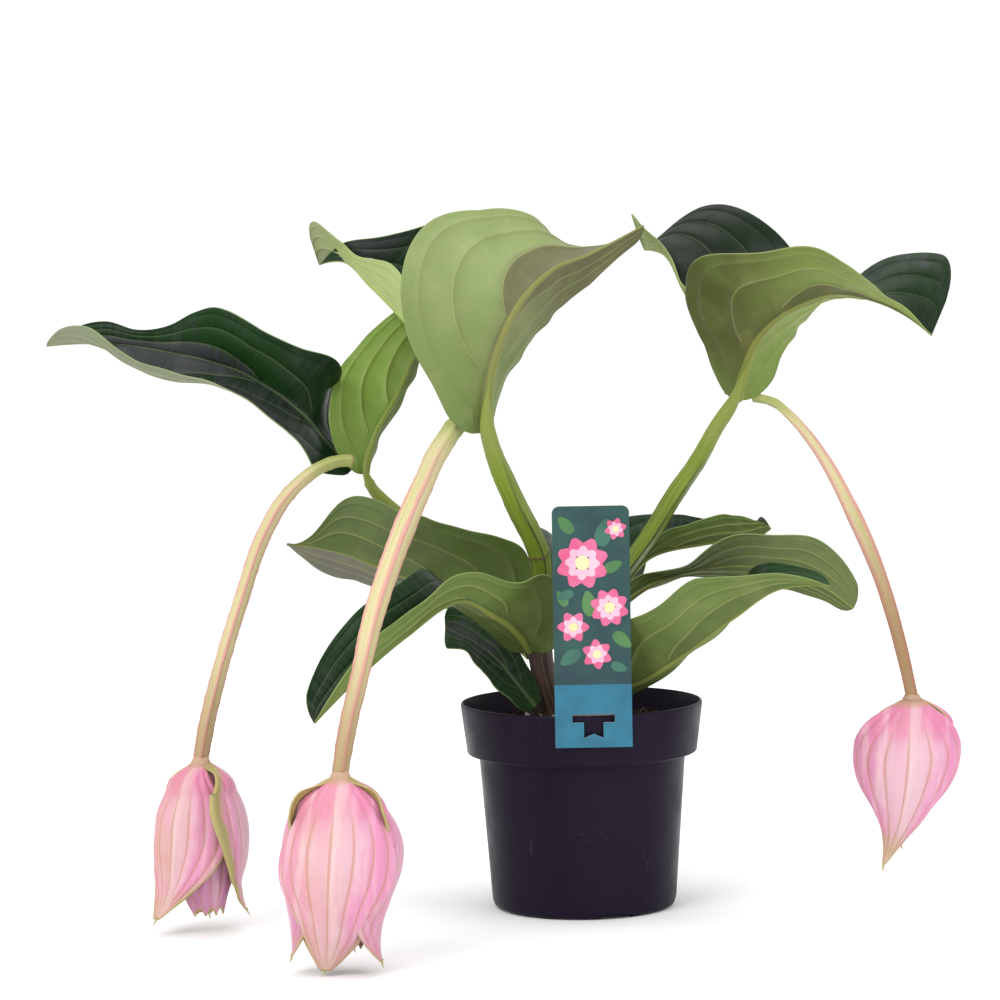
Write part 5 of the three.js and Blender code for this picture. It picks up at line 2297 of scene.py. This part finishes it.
@dataclass
class PottingSoil:
    """The potting soil: a lumpy top with crumbs and grit.

    Attributes:
        plan: The pot that it fills.
        peat: Its material.
        grit: The pale grit's material.
        edge: Height of its top at the wall, in millimetres.
        mound: How much higher its middle is.
        gap: How far it stays off the pot.
        grit_each: Every how many crumbs there is one of grit.
    """

    plan: PotPlan
    peat: Material
    grit: Material
    edge: float = 127.5
    mound: float = 9.0
    gap: float = 0.4
    crumbs: int = 520
    grit_each: int = 9
    sides: int = 220
    rings: int = 70
    seed: int = 4

    def top(self, x: float, y: float, reach: float) -> float:
        """Gives the height of the soil's top at a place.

        Args:
            x: The place, across.
            y: The place, in depth.
            reach: Its distance from the axis.

        Returns:
            The height.
        """
        radius = math.hypot(x, y)
        inside = min(1.0, 8 * max(0.0, 1 - radius / reach))
        place = Vector((x / 12, y / 12, 3.0))
        rough = sum(
            height * noise.noise(place * pace) for height, pace in ((1.5, 1), (1.0, 3.1), (0.6, 8))
        )
        return self.edge + self.mound * (1 - (radius / reach) ** 2) + rough * inside

    def build(self) -> Piece:
        """Makes the soil.

        Returns:
            The bed of soil.
        """
        p = self.plan
        bottom = p.foot_height + p.wall + self.gap
        slope = (p.rim_radius - p.band_bottom_radius) / (p.height - p.band_bottom)
        reach = p.rim_radius - p.wall - self.gap - (p.height - self.edge) * slope
        side = (
            (0, bottom), (p.body_bottom_radius - p.wall - 3.6, bottom),
            (p.body_bottom_radius - p.wall - self.gap, bottom + 2.4),
            (p.body_top_radius - p.wall - self.gap, p.band_bottom + self.gap),
            (p.band_bottom_radius - p.wall - self.gap - 0.6, p.band_bottom + p.wall + self.gap),
        )
        bed = lathe([(radius, 0) for radius in np.linspace(reach, 0, self.rings)], self.sides)
        bed[..., 2] = [[self.top(x, y, reach) for x, y, _ in ring] for ring in bed]
        skin = Skin("soil_bed")
        skin.add_grid(np.concatenate([lathe(side, self.sides), bed]))
        self.add_crumbs(skin, reach)
        return ridden(skin.piece(self.peat, self.grit), "potting_soil", "soil")

    def add_crumbs(self, skin: Skin, reach: float) -> None:
        """Scatters crumbs and grit over the top.

        Args:
            skin: The mesh that they join.
            reach: The radius of the soil's top.
        """
        rng = np.random.default_rng(self.seed)
        bead, faces = ball(7, 5)
        for i in range(self.crumbs):
            radius = (reach - 3) * math.sqrt(rng.uniform())
            turn = rng.uniform(0, FULL)
            x, y = radius * math.cos(turn), radius * math.sin(turn)
            size = rng.uniform(0.9, 2.6)
            shape = bead * rng.uniform(0.75, 1.25, (len(bead), 1)) * size
            shape = shape * rng.uniform(0.6, 1.3, 3)
            spun, tipped = (Matrix.Rotation(rng.uniform(0, PHASE), 3, axis) for axis in "ZX")
            place = [x, y, self.top(x, y, reach) + 0.3 * size]
            finish = int(i % self.grit_each == 0)
            skin.add(shape @ np.array(spun @ tipped) + place, faces, finish=finish)


@dataclass
class CareLabel:
    """The care label: a printed card, and a plain motif of blossoms on it.

    Attributes:
        plan: Its sizes.
        card: The card's material.
        inks: The motif's inks: two for petals, one for their eye, two for leaves.
        blossoms: Each blossom's place, across and up, its radius and its count of petals.
        leaves: Each leaf's foot, across and up, its direction in degrees and its length.
    """

    plan: LabelPlan
    card: Material
    inks: tuple[Material, ...]
    blossoms: tuple[tuple[float, float, float, int], ...] = (
        (-6, 252, 19, 8), (12, 221, 14, 8), (-13, 208, 11.5, 6), (3, 189, 11, 6), (17, 275, 8, 6),
    )
    leaves: tuple[tuple[float, float, float, float], ...] = (
        (8, 246, 25, 15), (6, 262, 75, 22), (-12, 272, 130, 16), (-12, 232, 200, 13),
        (14, 204, -40, 17), (-8, 192, 215, 18), (0, 214, 100, 20), (12, 182, -20, 13),
        (-17, 222, 120, 13),
    )

    def build(self) -> Piece:
        """Prints the card and makes its motif: blossoms of rounded petals on a spray of leaves.

        Returns:
            The motif.
        """
        p = self.plan
        card = bpy.data.objects["label"].data
        card.materials.clear()
        card.materials.append(self.card)
        skin = Skin("label_motif")
        front = p.back - p.thickness - 0.08
        for i, (x, z, way, length) in enumerate(self.leaves):
            foot, depth, ink = np.array([p.centre_x + x, z]), front - 0.06 * (i % 2), 3 + i % 2
            self.add_petal(skin, foot, math.radians(way), length, 0.26 * length, depth, ink)
        for x, z, size, petals in self.blossoms:
            middle = np.array([p.centre_x + x, z])
            for ring, (length, half) in enumerate(((1.0, 0.34), (0.66, 0.24))):
                for i in range(petals):
                    way = FULL * (i + 0.5 * ring) / petals + 0.02 * z
                    depth = front - 0.2 - 0.2 * ring - 0.08 * (i % 2)
                    self.add_petal(skin, middle, way, size * length, size * half, depth, ring)
            self.add_disc(skin, middle, 0.26 * size, front - 0.7, 2)
        return ridden(skin.piece(*self.inks), "label_card")

    @staticmethod
    def add_petal(
        skin: Skin, foot: Array, way: float, length: float, half: float, depth: float, ink: int
    ) -> None:
        """Adds a flat petal.

        Args:
            skin: The mesh that it joins.
            foot: Where it starts, across and up.
            way: Its direction, from the right towards up.
            length: Its length.
            half: Half its width.
            depth: Where it lies from front to back.
            ink: Which ink it wears.
        """
        t = np.linspace(0, 1, 17)
        wide = half * np.sin(math.pi * t**0.8) ** 0.8
        ahead = np.array([math.cos(way), math.sin(way)])
        side = np.array([-math.sin(way), math.cos(way)])
        middle = foot + length * t[:, None] * ahead
        out = wide[:, None] * side
        grid = np.stack([middle + out, middle - out], axis=1)[1:-1]
        flat = np.stack([grid[..., 0], np.full(grid.shape[:2], depth), grid[..., 1]], axis=-1)
        skin.add_grid(flat, ink, flip=True, wrap=False)

    @staticmethod
    def add_disc(skin: Skin, middle: Array, radius: float, depth: float, ink: int) -> None:
        """Adds a flat disc.

        Args:
            skin: The mesh that takes it.
            middle: Its middle.
            radius: Its radius.
            depth: How far it stands out.
            ink: Which finish it wears.
        """
        turn = turns(28)
        x, z = middle[0] + radius * np.cos(turn), middle[1] + radius * np.sin(turn)
        ring = np.stack([x, np.full(28, depth), z], axis=1)
        skin.add_cap(ring, [middle[0], depth, middle[1]], ink)


# ---- studio ----


@dataclass(frozen=True)
class CameraPlan:
    """Where the camera stands and how it looks, in millimetres and degrees."""

    place: Triple = (-55.1, -2700.0, 492.6)
    down: float = 4.3
    roll: float = math.degrees(0.018)
    lens: float = 138.0
    film: float = 36.0

    def build(self) -> Piece:
        """Makes the camera and looks through it.

        Returns:
            The camera.
        """
        data = bpy.data.cameras.new("camera")
        data.lens = self.lens
        data.sensor_width = self.film
        data.clip_end = 30.0
        camera = bpy.data.objects.new("camera", data)
        tilt, roll = math.radians(self.down), math.radians(self.roll)
        ahead = Vector((0, math.cos(tilt), -math.sin(tilt)))
        up = Vector((0, math.sin(tilt), math.cos(tilt)))
        right = Vector((1, 0, 0))
        across = math.cos(roll) * right - math.sin(roll) * up
        upward = math.cos(roll) * up + math.sin(roll) * right
        turn = Matrix((across, upward, -ahead)).transposed()
        camera.matrix_world = Matrix.Translation(Vector(self.place) * MM) @ turn.to_4x4()
        bpy.context.scene.collection.objects.link(camera)
        bpy.context.scene.camera = camera
        return camera


@dataclass(frozen=True)
class SoftLight:
    """A square soft light: where it stands, what it looks at, its side and its power."""

    name: str
    place: Triple
    aim: Triple
    side: float
    power: float

    def build(self) -> None:
        """Makes the light."""
        data = bpy.data.lights.new(self.name, "AREA")
        data.size = self.side
        data.energy = self.power
        light = bpy.data.objects.new(self.name, data)
        light.location = self.place
        way = Vector(self.aim) - Vector(self.place)
        light.rotation_euler = way.to_track_quat("-Z", "Y").to_euler()
        bpy.context.scene.collection.objects.link(light)


@dataclass(frozen=True)
class Studio:
    """A pale floor in white air, with soft lights, in metres."""

    lights: tuple[SoftLight, ...] = (
        SoftLight("key", (-1.6, -2.2, 2.2), (-0.05, 0.0, 0.25), 1.6, 42.0),
        SoftLight("fill", (2.2, -2.0, 1.2), (0.0, 0.0, 0.25), 2.0, 14.0),
        SoftLight("top", (0.1, 0.3, 2.6), (0.0, 0.0, 0.3), 1.6, 20.0),
    )
    air: float = 1.06
    half: float = 6.0
    paint: Colour = (0.96, 0.96, 0.96, 1.0)

    def build(self) -> None:
        """Makes the floor, the air and the lights."""
        world = bpy.data.worlds.new("studio")
        world.use_nodes = True
        air = world.node_tree.nodes["Background"]
        air.inputs["Color"].default_value = (1.0, 1.0, 1.0, 1.0)
        air.inputs["Strength"].default_value = self.air
        bpy.context.scene.world = world
        bpy.context.scene.view_settings.view_transform = "Standard"
        for light in self.lights:
            light.build()
        signs = ((-1, -1), (1, -1), (1, 1), (-1, 1))
        corners = [(x * self.half, y * self.half, 0) for x, y in signs]
        mesh = bpy.data.meshes.new("floor")
        mesh.from_pydata(corners, [], [(0, 1, 2, 3)])
        floor = bpy.data.objects.new("floor", mesh)
        bpy.context.scene.collection.objects.link(floor)
        sheet = Sheet("floor_white")
        mesh.materials.append(
            sheet.finished(base_color=self.paint, roughness=0.75, specular_ior_level=0.1)
        )


# ---- the whole ----


class Maker(Protocol):
    """Anything that makes pieces of the plant."""

    def build(self) -> object:
        """Makes its pieces."""


def makers() -> list[Maker]:
    """Gives the makers of the whole plant, in order, with their materials.

    Returns:
        The makers.
    """
    pot, label = PotPlan(), LabelPlan()
    inks = (
        Print("rose", tint(0xC8507C), tint(0xDB7BA0)),
        Print("blush", tint(0xE9A3BC), tint(0xF3CAD6)),
        Print("cream", tint(0xEADDA8), tint(0xD9BE7C)),
        Print("leaf", tint(0x3C6A3C), tint(0x5B8A48)),
        Print("sage", tint(0x29564A), tint(0x3F7A66)),
    )
    peat = Soil("soil_peat", tint(0x130D0B), tint(0x2C1F18), straw=0.6)
    grit = Soil("soil_grit", tint(0xC9C2B4), tint(0x8F8576))
    stem, stalk = StemSkin().material(), StalkSkin().material()
    top = LeafTop().material()
    unders = {tone: LeafUnder(tone).material() for tone in LitTone}
    bract, bud = BractSkin().material(), BudSkin().material()
    return [
        NurseryPot(pot, PotPlastic().material()),
        PottingSoil(pot, peat.material(), grit.material()),
        CareLabel(label, LabelCard(label).material(), tuple(ink.material() for ink in inks)),
        *(Stem(plan, stem, "stem_green", 0.15, 1.0, i) for i, plan in enumerate(STEM_PLANS, 11)),
        *(Stem(plan, stalk, "stalk_pink", 0.2, 0.0, i) for i, plan in enumerate(STALK_PLANS, 21)),
        *(Leaf(plan, i, top, unders[plan.tone]) for i, plan in enumerate(LEAF_PLANS, 31)),
        *(FlowerHead(plan, bract, bud, i) for i, plan in enumerate(HEAD_PLANS, 51)),
    ]


def main() -> None:
    """Dresses the plant and sets the studio."""
    logging.basicConfig(level=logging.INFO, format="%(name)s: %(message)s")
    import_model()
    Studio().build()
    CameraPlan().build()
    for maker in makers():
        maker.build()
    bpy.context.view_layer.update()


if __name__ == "__main__":
    main()
